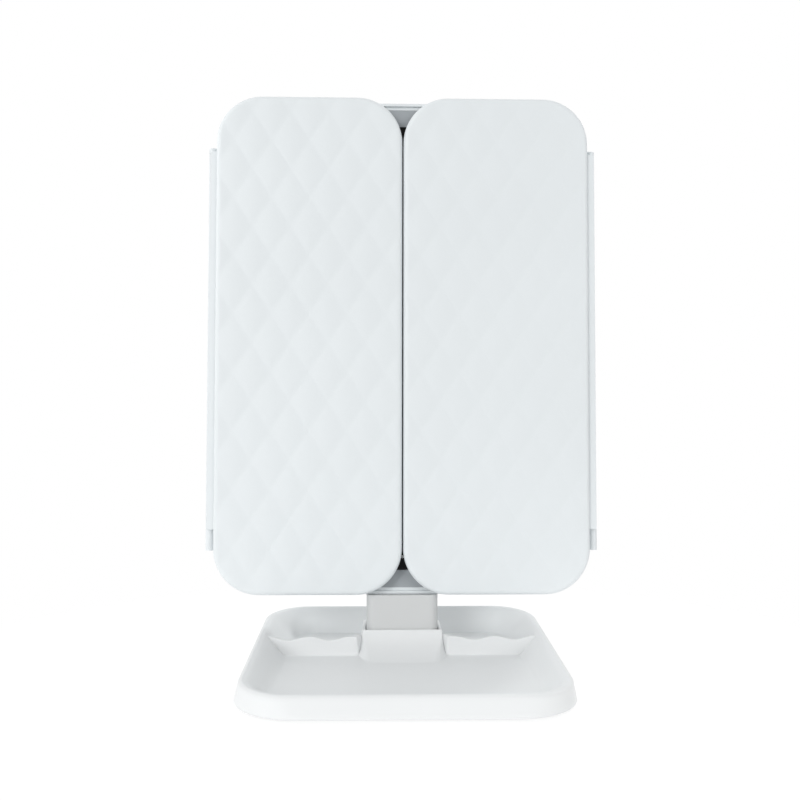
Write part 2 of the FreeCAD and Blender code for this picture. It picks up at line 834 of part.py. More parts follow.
# ---------------------------------------------------------------------------------- head
def head_outline(drawing, inset="0"):
    """The head's rounded outline, drawn in by inset on every side."""
    rounded(
        drawing,
        f"head_width - 2 * ({inset})",
        f"head_height - 2 * ({inset})",
        f"head_corner - ({inset})",
    )


def knuckle(owner, side, low, high, web, origin="0"):
    """A hinge barrel and the web that carries it. The web is the outline of its section, as pairs
    of x, counted outwards on the given side, and z. The owner's own origin lies at x = origin."""
    length, middle = f"({high}) - ({low})", f"(({high}) + ({low})) / 2"
    carrier = sketch(owner, "XZ_Plane", z=f"-({middle})")
    outline(carrier, [(f"{side} * ({x})", z) for x, z in web])
    pad(owner, carrier, length, both=True)
    barrel = sketch(owner, "XZ_Plane", z=f"-({middle})")
    circle(barrel, "2 * barrel_radius", f"{side} * (hinge_x - ({origin}))", "hinge_z")
    pad(owner, barrel, length, both=True)


def head_bezel():
    """The white front ring: a rim, and a lower band whose back edge holds the glass."""
    made = head_body("head_bezel")
    block = sketch(made, z="-bezel_depth")
    head_outline(block)
    pad(made, block, "bezel_depth")
    soften(made, flat_at("z", "0"), "bezel_round")
    opening = sketch(made)
    head_outline(opening, "bezel_width")
    pocket(made, opening)
    step = sketch(made)
    head_outline(step, "bezel_rim")
    pocket(made, step, "bezel_step")
    rebate = sketch(made, z="-bezel_depth")
    head_outline(rebate, "head_wall")
    pocket(made, rebate, "bezel_depth - bezel_step - bezel_lip", backwards=True)
    return made


def light_ring():
    """The frosted diffuser that frames the mirror."""
    made = head_body("light_ring")
    ring = sketch(made, z="glass_back")
    head_outline(ring, "head_wall + fit")
    head_outline(ring, "bezel_width + light_band")
    pad(made, ring, "pane_thickness")
    return made


def centre_mirror():
    made = head_body("centre_mirror")
    pane = sketch(made, z="glass_back")
    head_outline(pane, "bezel_width + light_band + fit")
    pad(made, pane, "pane_thickness")
    return made


def light_tray():
    """The white moulding behind the glass: a flat panel with a channel for the light strip all
    round, and posts on its back for the head's screws."""
    made = head_body("light_tray")
    block = sketch(made, z="light_tray_back")
    head_outline(block, "head_wall + 2 * fit")
    pad(made, block, "light_tray_depth")
    channel = sketch(made, z="tray_front")
    head_outline(channel, "channel_inset")
    head_outline(channel, "channel_inset + channel_width")
    pocket(made, channel, "channel_depth")
    back = sketch(made, z="light_tray_back")
    head_outline(back, "channel_inset + channel_width + light_tray_panel")
    pocket(made, back, "light_tray_depth - light_tray_panel", backwards=True)
    window = sketch(made, z="tray_front")
    circle(window, "touch_window", "0", "touch_y")
    pocket(made, window)
    posts = sketch(made, z="tray_front - light_tray_panel")
    for x, y in head_posts():
        circle(posts, "head_post", x, y)
    pad(made, posts, "post_meet", backwards=True)
    pilots = sketch(made, z="tray_front - light_tray_panel - post_meet")
    for x, y in head_posts():
        circle(pilots, "head_screw", x, y)
    pocket(made, pilots, "post_meet", backwards=True)
    return made


def head_posts():
    """Where the head's six screws stand."""
    return [(f"{sx} * head_post_x", f"{sy} * head_post_y") for sx in (-1, 1) for sy in (-1, 0, 1)]


def led_strip():
    """The flexible strip in the channel, with its lamps."""
    made = head_body("led_strip")
    inset = "channel_inset + (channel_width - strip_width) / 2"
    strip = sketch(made, z="tray_front - channel_depth")
    head_outline(strip, inset)
    head_outline(strip, f"{inset} + strip_width")
    pad(made, strip, "led_board")
    line = "(channel_inset + channel_width / 2)"
    for sign in (-1, 1):
        side, end = f"{sign} * (head_width / 2 - {line})", f"{sign} * (head_height / 2 - {line})"
        lamp_row(made, "V_Axis", "led_rows", side, "-(led_rows - 1) / 2 * led_pitch")
        lamp_row(made, "H_Axis", "led_columns", "-(led_columns - 1) / 2 * led_pitch", end)
    return made


def lamp_row(owner, axis, count, x, y):
    """A row of lamps on the strip, which starts at x, y and runs along an axis."""
    lamp = sketch(owner, z="tray_front - channel_depth + led_board / 2")
    rectangle(lamp, "led_side", "led_side", x, y)
    first = pad(owner, lamp, "led_height + led_board / 2")
    row = owner.newObject("PartDesign::LinearPattern", "Row")
    row.Originals = [first]
    row.Direction = (lamp, [axis])
    bind(row, "Length", f"({count} - 1) * led_pitch")
    bind(row, "Occurrences", count)
    owner.Tip = row


def head_housing():
    """The back shell, with screw wells, the battery bay, two hinge knuckles a side and the openings
    for the neck, the switch and the power inlet."""
    made = head_body("head_housing")
    block = sketch(made, z="-head_depth")
    head_outline(block)
    pad(made, block, "head_depth - bezel_depth")
    soften(made, flat_at("z", "-head_depth"), "head_back_round")
    root, outer, beside_bezel = "(head_width - head_wall) / 2", "web_end_x", "head_width / 2 + fit"
    web = [
        (root, "-bezel_depth - knuckle_root"),
        (outer, "-bezel_depth - knuckle_root"),
        (outer, "-gap"),
        (beside_bezel, "-gap"),
        (beside_bezel, "-bezel_depth"),
        (root, "-bezel_depth"),
    ]
    for side in (-1, 1):
        knuckle(made, side, "knuckle_low", "knuckle_split", web)
        knuckle(made, side, "knuckle_high - upper_knuckle", "knuckle_high", web)
    cavity = sketch(made, z="-bezel_depth")
    head_outline(cavity, "head_wall")
    pocket(made, cavity, "head_depth - head_wall - bezel_depth")
    inner = sketch(made, z="-head_depth + head_wall / 2")
    for x, y in head_posts():
        circle(inner, "head_post", x, y)
    for side in (-1, 1):
        circle(inner, "collar_post", f"{side} * collar_width / 4", "collar_screw_y")
    bay_outline(inner, "bay_wall", y="bay_y")
    pad(made, inner, "bay_front + bay_wall + head_depth - head_wall / 2")
    trim = sketch(made, z="bay_front + bay_wall")
    for x, y in head_posts():
        circle(trim, "head_post + fit", x, y)
    pocket(made, trim, "bay_front + bay_wall - (tray_front - light_tray_panel - post_meet)")
    collar_trim = sketch(made, z="bay_front + bay_wall")
    for side in (-1, 1):
        circle(collar_trim, "collar_post + fit", f"{side} * collar_width / 4", "collar_screw_y")
    pocket(made, collar_trim, "bay_front + bay_wall - (collar_front - collar_depth)")
    board_posts = sketch(made, z="-head_depth + head_wall / 2")
    for x, y in board_corners():
        circle(board_posts, "board_post", x, y)
    pad(made, board_posts, "board_back + head_depth - head_wall / 2")
    drill = sketch(made, z="-head_depth")
    for x, y in head_posts():
        circle(drill, "head_screw + 2 * fit", x, y)
    pocket(made, drill, backwards=True)
    wells = sketch(made, z="-head_depth")
    for x, y in head_posts():
        circle(wells, "head_screw_head + 4 * fit", x, y)
    pocket(made, wells, "head_well", backwards=True)
    pilots = sketch(made, z="collar_front - collar_depth")
    for side in (-1, 1):
        circle(pilots, "collar_screw", f"{side} * collar_width / 4", "collar_screw_y")
    pocket(made, pilots, "collar_thread + pilot_skin")
    board_pilots = sketch(made, z="board_back")
    for x, y in board_corners():
        circle(board_pilots, "board_screw", x, y)
    pocket(made, board_pilots, "board_screw_length - board_thickness")
    bay = sketch(made, z="-head_depth")
    bay_outline(bay, y="bay_y")
    pocket(made, bay, "bay_front + head_depth", backwards=True)
    ledge = sketch(made, z="-head_depth")
    bay_outline(ledge, "door_lap + gap", y="bay_y")
    pocket(made, ledge, "door_thickness", backwards=True)
    inlet = sketch(made, z="-head_depth")
    rounded(inlet, "jack_width + 2 * gap", "jack_height + 2 * gap", "jack_height / 2", "jack_x", "board_y")
    pocket(made, inlet, "2 * head_wall", backwards=True)
    window = sketch(made, z="-head_depth")
    rounded(window, "knob_run + 2 * gap", "knob_side + 2 * gap", "knob_corner", "switch_middle", "board_y")
    pocket(made, window, "2 * head_wall", backwards=True)
    slot = sketch(made, "XZ_Plane", z="-(2 * head_wall - head_height / 2)")
    collar_middle = "collar_front - collar_depth / 2"
    rectangle(slot, "collar_width + 2 * fit", "collar_depth + 2 * fit", "0", collar_middle)
    pocket(made, slot, "3 * head_wall", backwards=True)
    bores = sketch(made, "XZ_Plane")
    for side in (-1, 1):
        circle(bores, "hinge_pin", f"{side} * hinge_x", "hinge_z")
    pocket(made, bores, both=True)
    return made


def bay_outline(drawing, margin="0", y="0"):
    """The battery bay's outline, made larger by margin all round."""
    rounded(
        drawing,
        f"bay_width + 2 * ({margin})",
        f"bay_height + 2 * ({margin})",
        f"bay_corner + ({margin})",
        y=y,
    )


def board_corners():
    """Where the circuit board's screws stand."""
    reach_x, reach_y = "(board_width / 2 - board_screw_inset)", "(board_height / 2 - board_screw_inset)"
    return [(f"board_x + {sx} * {reach_x}", f"board_y + {sy} * {reach_y}") for sx, sy in FOUR]


def collar_screws():
    made = head_body("collar_screws", several=True)
    spots = [(f"{side} * collar_width / 4", "collar_screw_y") for side in (-1, 1)]
    length = "collar_screw_cap + collar_depth + collar_thread"
    level = "collar_front + collar_screw_cap"
    return screws(made, spots, level, "collar_screw", length, backwards=True)


def head_screws():
    made = head_body("head_screws", several=True)
    level = "-head_depth + head_well - head_screw_cap"
    length = f"tray_front - light_tray_panel - pilot_skin - ({level})"
    return screws(made, head_posts(), level, "head_screw", length)


# ---------------------------------------------------------------------------------- power
def cell_spots():
    """The cells lie side by side: the middle of each, counted from the left."""
    return [(k, f"({k} - (cell_count - 1) / 2) * cell_pitch") for k in range(int(SIZES["cell_count"]))]


def batteries():
    """Four AAA cells, turned end for end in turn."""
    made = head_body("batteries", y="bay_y", several=True)
    cans = sketch(made, "XZ_Plane")
    for _, x in cell_spots():
        circle(cans, "cell_diameter", x, "cell_z")
    pad(made, cans, "cell_length - cell_button", both=True)
    for turn in (0, 1):
        buttons = sketch(made, "XZ_Plane", z=f"{1 - 2 * turn} * (cell_length - cell_button) / 2")
        for k, x in cell_spots():
            if k % 2 == turn:
                circle(buttons, "cell_button_width", x, "cell_z")
        pad(made, buttons, "cell_button", backwards=bool(turn))
    return made


def battery_contacts():
    """A flat plate at each cell's button end and a spring plate at the other."""
    made = head_body("battery_contacts", y="bay_y", several=True)
    for end in (-1, 1):
        plates = sketch(made, "XZ_Plane", z=f"{end} * (bay_height / 2 - fit)")
        springs = sketch(made, "XZ_Plane", z=f"{end} * (bay_height / 2 - fit)")
        for k, x in cell_spots():
            rectangle(plates, "contact_width", "contact_width", x, "cell_z")
            if (k % 2 == 0) == (end < 0):
                circle(springs, "spring_width", x, "cell_z")
        pad(made, plates, "contact_plate", backwards=end > 0)
        pad(made, springs, "bay_height / 2 - fit - cell_length / 2", backwards=end > 0)
    return made


def battery_door():
    """The snap-in door of the bay, with three finger grooves by its upper edge."""
    made = head_body("battery_door", y="bay_y")
    plate = sketch(made, z="-head_depth")
    bay_outline(plate, "door_lap")
    pad(made, plate, "door_thickness - fit")
    grooves = sketch(made, z="-head_depth")
    for k in range(3):
        level = f"bay_height / 2 - bay_end - {k} * grip_pitch"
        rounded(grooves, "grip_length", "grip_width", "grip_width / 2 - fit / 2", "0", level)
    pocket(made, grooves, "grip_depth", backwards=True)
    return made


# the chips' width and height, and where they sit from the middle of the board
CHIPS = ((6.0, 5.0, -5, 2), (4.0, 4.0, 6, -4), (3.0, 1.6, 6, 5), (3.0, 1.6, -13, -4))


def circuit_board():
    """The driver board of the lamps, with its chips on the side away from the inlet."""
    made = head_body("circuit_board")
    board = sketch(made, z="board_back")
    rounded(board, "board_width", "board_height", "board_corner", "board_x", "board_y")
    pad(made, board, "board_thickness")
    chips = sketch(made, z="board_back + board_thickness / 2")
    for width, height, x, y in CHIPS:
        rectangle(chips, str(width), str(height), f"board_x + {x}", f"board_y + {y}")
    pad(made, chips, "board_thickness / 2 + chip_height")
    holes = sketch(made, z="board_back")
    for x, y in board_corners():
        circle(holes, "board_screw + 2 * fit", x, y)
    pocket(made, holes, backwards=True)
    return made


def board_screws():
    made = head_body("board_screws", several=True)
    level = "board_back + board_thickness + board_screw_cap"
    length = "board_screw_length"
    return screws(made, board_corners(), level, "board_screw", length, backwards=True)


def usb_jack():
    """The power inlet: a metal shell round a tongue."""
    made = head_body("usb_jack")
    shell = sketch(made, z="-head_depth + jack_inset")
    rounded(shell, "jack_width", "jack_height", "jack_height / 2 - fit", "jack_x", "board_y")
    pad(made, shell, "board_back + head_depth - jack_inset")
    mouth = sketch(made, z="-head_depth + jack_inset")
    rounded(
        mouth,
        "jack_width - 2 * jack_shell",
        "jack_height - 2 * jack_shell",
        "jack_height / 2 - jack_shell - fit",
        "jack_x",
        "board_y",
    )
    pocket(made, mouth, "jack_depth", backwards=True)
    tongue = sketch(made, z="-head_depth + 2 * jack_inset")
    rectangle(tongue, "jack_width - 4 * jack_tongue", "jack_tongue", "jack_x", "board_y")
    pad(made, tongue, "jack_depth")
    return made


def power_switch():
    """The case of the slide switch on the board."""
    made = head_body("power_switch")
    case = sketch(made, z="switch_face")
    rectangle(case, "switch_length", "switch_width", "switch_middle", "board_y")
    pad(made, case, "switch_height")
    slot = sketch(made, z="switch_face")
    rectangle(slot, "knob_run", "knob_tail + 2 * gap", "switch_middle", "board_y")
    pocket(made, slot, "switch_slot", backwards=True)
    return made


def power_knob():
    """The sliding knob of the switch, which reaches out through the back of the head."""
    made = head_body("power_knob", x="switch_x", y="board_y")
    stem = sketch(made, z="-head_depth - knob_proud")
    rounded(stem, "knob_side", "knob_side", "knob_corner")
    pad(made, stem, "switch_face - gap + head_depth + knob_proud")
    tail = sketch(made, z="switch_face - gap - fit")
    rectangle(tail, "knob_side", "knob_tail")
    pad(made, tail, "switch_slot + fit")
    ridges = sketch(made, z="-head_depth - knob_proud")
    for k in (-1, 0, 1):
        rectangle(ridges, "knob_ridge", "2 * knob_side", f"{k} * knob_side / 4")
    pocket(made, ridges, "knob_ridge", backwards=True)
    return made


def touch_pad():
    """The sensor foil of the touch switch, on the back of the glass."""
    made = head_body("touch_pad", y="touch_y")
    disc = sketch(made, z="glass_back")
    circle(disc, "touch_pad")
    pad(made, disc, "touch_foil", backwards=True)
    return made


# ---------------------------------------------------------------------------------- wings
def wing_body(name, side, piece):
    return head_body(f"wing_{name}_{piece}", x=f"{side} * wing_middle_x", y="wing_lift")


def wing_outline(drawing, inset="0"):
    rounded(
        drawing,
        f"wing_width - 2 * ({inset})",
        f"wing_height - 2 * ({inset})",
        f"wing_corner - ({inset})",
    )


def quilt(owner):
    """Cuts the quilting: rows of shallow V grooves that lean to either side and leave diamonds."""
    rise = "groove_depth / 2"
    spread = f"groove_width / 2 * (groove_depth + {rise}) / groove_depth"
    rows = int(value("quilt_rows"))
    for turn in ("quilt_lean", "-quilt_lean"):
        grooves = sketch(owner, "XZ_Plane", turn=(Vector(0, 1, 0), turn))
        for k in range(rows):
            middle = f"{k - (rows - 1) / 2} * quilt_pitch"
            outline(
                grooves,
                (
                    (middle, "wing_front - groove_depth"),
                    (f"{middle} + {spread}", f"wing_front + {rise}"),
                    (f"{middle} - {spread}", f"wing_front + {rise}"),
                ),
            )
        pocket(owner, grooves, both=True)


def wing_cover(name, side):
    """The quilted outer shell of a wing."""
    made = wing_body(name, side, "cover")
    block = sketch(made, z="wing_back")
    wing_outline(block)
    pad(made, block, "wing_front - wing_back")
    soften(made, flat_at("z", "wing_front"), "wing_edge_round")
    hollow = sketch(made, z="wing_back")
    wing_outline(hollow, "wing_wall")
    pocket(made, hollow, "wing_front - wing_back - wing_skin", backwards=True)
    notch = sketch(made, z="wing_back")
    rectangle(
        notch,
        "2 * wing_wall + 2 * fit",
        "wing_knuckle_high - wing_knuckle_low + 2 * fit",
        f"{side} * wing_width / 2",
        "(wing_knuckle_high + wing_knuckle_low) / 2",
    )
    pocket(made, notch, "wing_web + knuckle_web + fit - wing_back", backwards=True)
    quilt(made)
    return made


def wing_frame(name, side):
    """The inner frame of a wing: a lip round the glass, a flange that grips the cover, and the long
    hinge barrel."""
    made = wing_body(name, side, "frame")
    plate = sketch(made, z="wing_standoff")
    wing_outline(plate)
    pad(made, plate, "wing_plate")
    flange = sketch(made, z="wing_back")
    wing_outline(flange, "wing_wall + fit")
    pad(made, flange, "wing_flange_reach")
    seat = sketch(made, z="wing_standoff + wing_lip")
    wing_outline(seat, "wing_rebate")
    pocket(made, seat, backwards=True)
    opening = sketch(made, z="wing_standoff")
    wing_outline(opening, "wing_border")
    pocket(made, opening, "wing_lip + fit", backwards=True)
    if side < 0:
        bar = sketch(made, z="wing_standoff")
        rectangle(bar, "wing_width - 2 * wing_border + 2 * fit", "wing_crossbar")
        pad(made, bar, "wing_lip")
    root, outer = "wing_width / 2 - wing_wall - fit - wing_flange / 2", "web_end_x - wing_middle_x"
    low, top = "wing_web", "wing_web + knuckle_web"
    web = [(root, low), (outer, low), (outer, top), (root, top)]
    knuckle(made, side, "wing_knuckle_low", "wing_knuckle_high", web, "wing_middle_x")
    bore = sketch(made, "XZ_Plane")
    circle(bore, "hinge_pin + 2 * running_fit", f"{side} * (hinge_x - wing_middle_x)", "hinge_z")
    pocket(made, bore, both=True)
    return made


def wing_pane(made):
    """A sheet of mirror glass that fills a wing's frame from edge to edge."""
    pane = sketch(made, z="pane_face")
    wing_outline(pane, "wing_rebate + fit")
    pad(made, pane, "wing_pane_thickness")
    return made


def magnifier(name, upward):
    """The upper or lower glass of the left wing, hollowed to magnify: the hollow is part of a large
    sphere that runs out at the pane's far corners."""
    made = wing_pane(wing_body("left", -1, name))
    rest = sketch(made, z="pane_face")
    rectangle(rest, "wing_width", "wing_height / 2", "0", f"-{upward} * (wing_height / 4 - fit)")
    pocket(made, rest, backwards=True)
    ball = made.newObject("PartDesign::SubtractiveSphere", "Hollow")
    bind(ball, "Radius", "hollow_radius")
    bind(ball, "Placement.Base.y", f"{upward} * wing_height / 4")
    bind(ball, "Placement.Base.z", "pane_face + magnifier_hollow - hollow_radius")
    return made


def wing_backing(name, side):
    """The foam sheet that fills a wing between its glass and its cover."""
    made = wing_body(name, side, "backing")
    foam = sketch(made, z="pane_face + wing_pane_thickness + fit / 2")
    wing_outline(foam, "wing_wall + wing_flange + 2 * fit")
    pad(made, foam, "wing_front - wing_skin - pane_face - wing_pane_thickness - fit")
    return made


def wing_pin(name, side):
    """The steel pin of a wing's hinge."""
    made = head_body(f"wing_{name}_pin", x=f"{side} * hinge_x", z="hinge_z")
    rod = sketch(made, "XZ_Plane", z="-(knuckle_low + pin_end)")
    circle(rod, "hinge_pin")
    pad(made, rod, "knuckle_high - knuckle_low - 2 * pin_end", backwards=True)
    return made


def left_wing():
    return [
        wing_cover("left", -1),
        wing_frame("left", -1),
        magnifier("mirror_upper", 1),
        magnifier("mirror_lower", -1),
        wing_backing("left", -1),
        wing_pin("left", -1),
    ]


def right_wing():
    return [
        wing_cover("right", 1),
        wing_frame("right", 1),
        wing_pane(wing_body("right", 1, "mirror")),
        wing_backing("right", 1),
        wing_pin("right", 1),
    ]


# ---------------------------------------------------------------------------------- the object
parts = [
    base_tray(),
    base_plate(),
    ballast_plate(),
    base_feet(),
    base_screws(),
    tilt_bracket(),
    bracket_screws(),
    tilt_shaft(),
    tilt_washers(),
    neck(),
    neck_cover(),
    head_bezel(),
    light_ring(),
    centre_mirror(),
    light_tray(),
    led_strip(),
    head_housing(),
    collar_screws(),
    head_screws(),
    batteries(),
    battery_contacts(),
    battery_door(),
    circuit_board(),
    board_screws(),
    usb_jack(),
    power_switch(),
    power_knob(),
    touch_pad(),
]
parts += left_wing() + right_wing()
doc.recompute()

for thing in doc.Objects:
    if "Invalid" in thing.State or "Error" in thing.State:
        raise RuntimeError(f"{thing.Label} ({thing.Name}) failed: {thing.State}")
    if thing.TypeId == "PartDesign::Pocket" and thing.Shape.Volume > thing.BaseFeature.Shape.Volume - 1e-3:
        raise RuntimeError(f"{thing.Name} of {thing.getParentGeoFeatureGroup().Label} cuts nothing")
for piece in parts:
    if piece.Shape.isNull() or not piece.Shape.isValid():
        raise RuntimeError(f"{piece.Label} has no valid shape")
    piece.Shape.exportStep(f"parts/{piece.Label}.step")
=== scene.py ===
"""Looks of the trifold vanity mirror: white satin mouldings with quilted wing faces, a storage tray
with scalloped dividers, silvered glass and a frosted light ring.

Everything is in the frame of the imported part: +Z up, the mirror faces -Y, and shapes are worked
out in millimetres before they go into a mesh in metres.
"""

import math

import bpy
import numpy as np
from mathutils import Matrix, Vector


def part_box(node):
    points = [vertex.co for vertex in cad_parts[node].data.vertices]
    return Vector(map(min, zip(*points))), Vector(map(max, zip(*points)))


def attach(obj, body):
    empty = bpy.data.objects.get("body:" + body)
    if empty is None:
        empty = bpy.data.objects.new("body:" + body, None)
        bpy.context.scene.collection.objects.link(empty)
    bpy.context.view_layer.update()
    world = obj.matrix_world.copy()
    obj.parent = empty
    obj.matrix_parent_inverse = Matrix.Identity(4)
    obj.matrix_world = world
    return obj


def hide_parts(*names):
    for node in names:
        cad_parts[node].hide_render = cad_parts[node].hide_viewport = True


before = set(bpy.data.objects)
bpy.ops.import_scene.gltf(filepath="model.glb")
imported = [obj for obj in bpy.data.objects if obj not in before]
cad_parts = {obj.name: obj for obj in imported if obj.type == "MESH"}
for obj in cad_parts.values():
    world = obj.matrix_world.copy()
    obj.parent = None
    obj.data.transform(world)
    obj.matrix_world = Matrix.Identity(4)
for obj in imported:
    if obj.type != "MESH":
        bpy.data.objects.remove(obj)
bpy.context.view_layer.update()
MM = 0.001
SHARP = math.radians(38)  # two faces that meet at more than this keep a sharp edge
TINY = 1e-6  # keeps a divisor away from 0


# ------------------------------------------------------------------------------------ meshes
def piece(name, points, faces, body, node, finish):
    """A closed mesh from points in millimetres, facing outwards, that stands for a CAD node."""
    faces = np.asarray(faces)
    # the sum over the faces is six times the signed volume, which is negative inside out
    corners = [points[faces[:, k]] for k in range(faces.shape[1])]
    fans = sum(np.cross(b, c) for b, c in zip(corners[1:], corners[2:]))
    if np.einsum("ij,ij->i", corners[0], fans).sum() < 0:
        faces = faces[:, ::-1]
    mesh = bpy.data.meshes.new(name)
    mesh.from_pydata((points * MM).tolist(), [], faces.tolist())
    mesh.validate()
    mesh.shade_smooth()
    mesh.set_sharp_from_angle(angle=SHARP)
    mesh.materials.append(finish)
    made = bpy.data.objects.new(name, mesh)
    bpy.context.scene.collection.objects.link(made)
    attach(made, body)
    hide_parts(node)


def quads(rows, columns, closed=False):
    """Faces of a grid of points stored row by row; closed joins the last column to the first."""
    index = np.arange(rows * columns).reshape(rows, columns)
    if closed:
        index = np.concatenate([index, index[:, :1]], axis=1)
    corners = index[:-1, :-1], index[:-1, 1:], index[1:, 1:], index[1:, :-1]
    return np.stack(corners, axis=-1).reshape(-1, 4)


def welded(node):
    """A CAD node's triangles with shared corners made one: points in millimetres, and faces. A
    triangle that loses a corner by that is left out."""
    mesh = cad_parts[node].data
    places = np.empty(len(mesh.vertices) * 3)
    mesh.vertices.foreach_get("co", places)
    corner = np.empty(len(mesh.loops), dtype=np.int64)
    mesh.loops.foreach_get("vertex_index", corner)
    points, index = np.unique((places.reshape(-1, 3) / MM).round(4), axis=0, return_inverse=True)
    faces = index.ravel()[corner].reshape(-1, 3)
    apart = (faces != np.roll(faces, 1, axis=1)).all(axis=1)
    return points, faces[apart]


def stations(*stretches):
    """Places along a line: each stretch is (start, end, steps), and shared ends count once."""
    return np.unique(np.concatenate([np.linspace(a, b, n + 1) for a, b, n in stretches]).round(6))


def smooth_step(x):
    """0 below 0, 1 above 1, and 3x^2 - 2x^3 between."""
    x = np.clip(x, 0, 1)
    return x * x * (3 - 2 * x)


def rounded_path(steps_x, steps_y, steps_corner):
    """The way round a rounded rectangle, counter-clockwise from the foot of its right side, as two
    arrays: where each point belongs on the core rectangle (-1 to 1), and its outward normal."""
    core, normal = [], []
    for side, steps in enumerate((steps_y, steps_x, steps_y, steps_x)):
        turn = math.pi / 2 * side
        along = np.linspace(-1, 1, steps + 1)[:-1]
        angle = np.linspace(turn, turn + math.pi / 2, steps_corner + 1)[:-1]
        c, s = round(math.cos(turn)), round(math.sin(turn))
        core.append(np.stack([c - s * along, s + c * along], axis=1))
        core.append(np.broadcast_to([c - s, s + c], (steps_corner, 2)))
        normal.append(np.broadcast_to([c, s], (steps, 2)))
        normal.append(np.stack([np.cos(angle), np.sin(angle)], axis=1))
    return np.concatenate(core), np.concatenate(normal)


def rounded_ring(path, half, corner):
    """The points of a rounded rectangle with these half sizes and corner radius."""
    core, normal = path
    return core * (np.asarray(half) - corner) + normal * corner


def box_distance(x, y, half, corner, middle=(0, 0)):
    """The signed distance to a rounded rectangle: the length of what sticks out past its core
    rectangle, less the corner radius. It is negative inside."""
    px = np.abs(x - middle[0]) - (half[0] - corner)
    py = np.abs(y - middle[1]) - (half[1] - corner)
    outside = np.hypot(np.maximum(px, 0), np.maximum(py, 0))
    return outside + np.minimum(np.maximum(px, py), 0) - corner


# ------------------------------------------------------------------------------------ materials
class Value:
    """A number that varies over a surface. Arithmetic on it adds Math nodes."""

    def __init__(self, tree, socket):
        self.tree, self.socket = tree, socket

    def math(self, operation, first, second):
        node = self.tree.nodes.new("ShaderNodeMath")
        node.operation = operation
        for slot, term in zip(node.inputs, (first, second)):
            feed(self.tree, slot, term)
        return Value(self.tree, node.outputs[0])

    def __add__(self, other):
        return self.math("ADD", self, other)

    def __rsub__(self, other):
        return self.math("SUBTRACT", other, self)

    def __mul__(self, other):
        return self.math("MULTIPLY", self, other)

    def __truediv__(self, other):
        return self.math("DIVIDE", self, other)

    __radd__, __rmul__ = __add__, __mul__


def feed(tree, slot, term):
    """Links a varying value to a socket, or sets a constant on it."""
    if isinstance(term, Value):
        tree.links.new(term.socket, slot)
    else:
        slot.default_value = term


class Graph:
    """A node tree, with one way to add a node of any kind to it."""

    def __init__(self, tree):
        self.tree = tree

    def add(self, kind, settings=None, inputs=None, output=0):
        """Adds a node of any kind: its settings or ramp stops first, then its sockets."""
        node = self.tree.nodes.new(kind)
        for key, setting in (settings or {}).items():
            if key == "stops":
                ramp = node.color_ramp.elements
                while len(ramp) < len(setting):
                    ramp.new(0.5)
                for stop, (position, shade) in zip(ramp, setting):
                    stop.position, stop.color = position, (shade, shade, shade, 1)
            else:
                setattr(node, key, setting)
        for slot, term in (inputs or {}).items():
            feed(self.tree, node.inputs[slot], term)
        return Value(self.tree, node.outputs[output])


class Finish(Graph):
    """A procedural material: a Principled shader fed by nodes that read Object coordinates."""

    def __init__(self, name, **constants):
        self.material = bpy.data.materials.new(name)
        self.material.use_nodes = True
        super().__init__(self.material.node_tree)
        self.shader = next(n for n in self.tree.nodes if n.type == "BSDF_PRINCIPLED")
        self.place = self.add("ShaderNodeTexCoord", output="Object")
        for name, value in constants.items():
            self.shader.inputs[name.replace("_", " ")].default_value = value

    def noise(self, size, detail=2.0, roughness=0.5, stretch=(1, 1, 1)):
        """Soft clouds about size millimetres across, drawn out along the axes by stretch."""
        place = self.place
        if stretch != (1, 1, 1):
            scale = tuple(1 / s for s in stretch)
            place = self.add("ShaderNodeMapping", None, {"Vector": place, "Scale": scale})
        sockets = {"Scale": 1 / (size * MM), "Detail": detail, "Roughness": roughness}
        return self.add("ShaderNodeTexNoise", None, {"Vector": place, **sockets})

    def ramp(self, factor, *stops):
        """A ramp of greys along factor, through stops of (position, shade)."""
        return self.add("ShaderNodeValToRGB", {"stops": stops}, {0: factor})

    def mix(self, factor, low, high):
        """The colour low where factor is 0, and high where it is 1."""
        low, high = ((*c, 1.0) if isinstance(c, tuple) else c for c in (low, high))
        return self.add("ShaderNodeMix", {"data_type": "RGBA"}, {0: factor, 6: low, 7: high}, 2)

    def bump(self, height, depth, under=None):
        """Relief of depth millimetres, on top of the relief under it."""
        sockets = {"Height": height, "Distance": depth * MM, "Strength": 1.0}
        if under is not None:
            sockets["Normal"] = under
        return self.add("ShaderNodeBump", None, sockets)

    def set(self, **links):
        """Feeds the shader's inputs, and hands the material over."""
        for name, term in links.items():
            feed(self.tree, self.shader.inputs[name.replace("_", " ")], term)
        return self.material


def moulded(name, colour, gloss, grain=0.5, depth=0.008, tone=0.02, marks=0.08):
    """Moulded plastic: a hardly visible drift of tone, a fine skin grain, and handling marks that
    make the surface here and there a little duller."""
    f = Finish(name, IOR=1.47)
    drift = f.noise(70, 3.0)
    low = tuple(c * (1 - tone) for c in colour)
    high = tuple(min(c * (1 + tone), 1.0) for c in colour)
    touched = f.ramp(f.noise(22, 6.0, 0.62), (0.42, 0.0), (0.72, 1.0))
    fine = f.noise(grain, 3.0, 0.6)
    wave = f.noise(9, 2.0)
    return f.set(
        Base_Color=f.mix(drift, low, high),
        Roughness=touched * marks + fine * 0.06 + (gloss - 0.03),
        Normal=f.bump(fine, depth, f.bump(wave, 0.02)),
    )


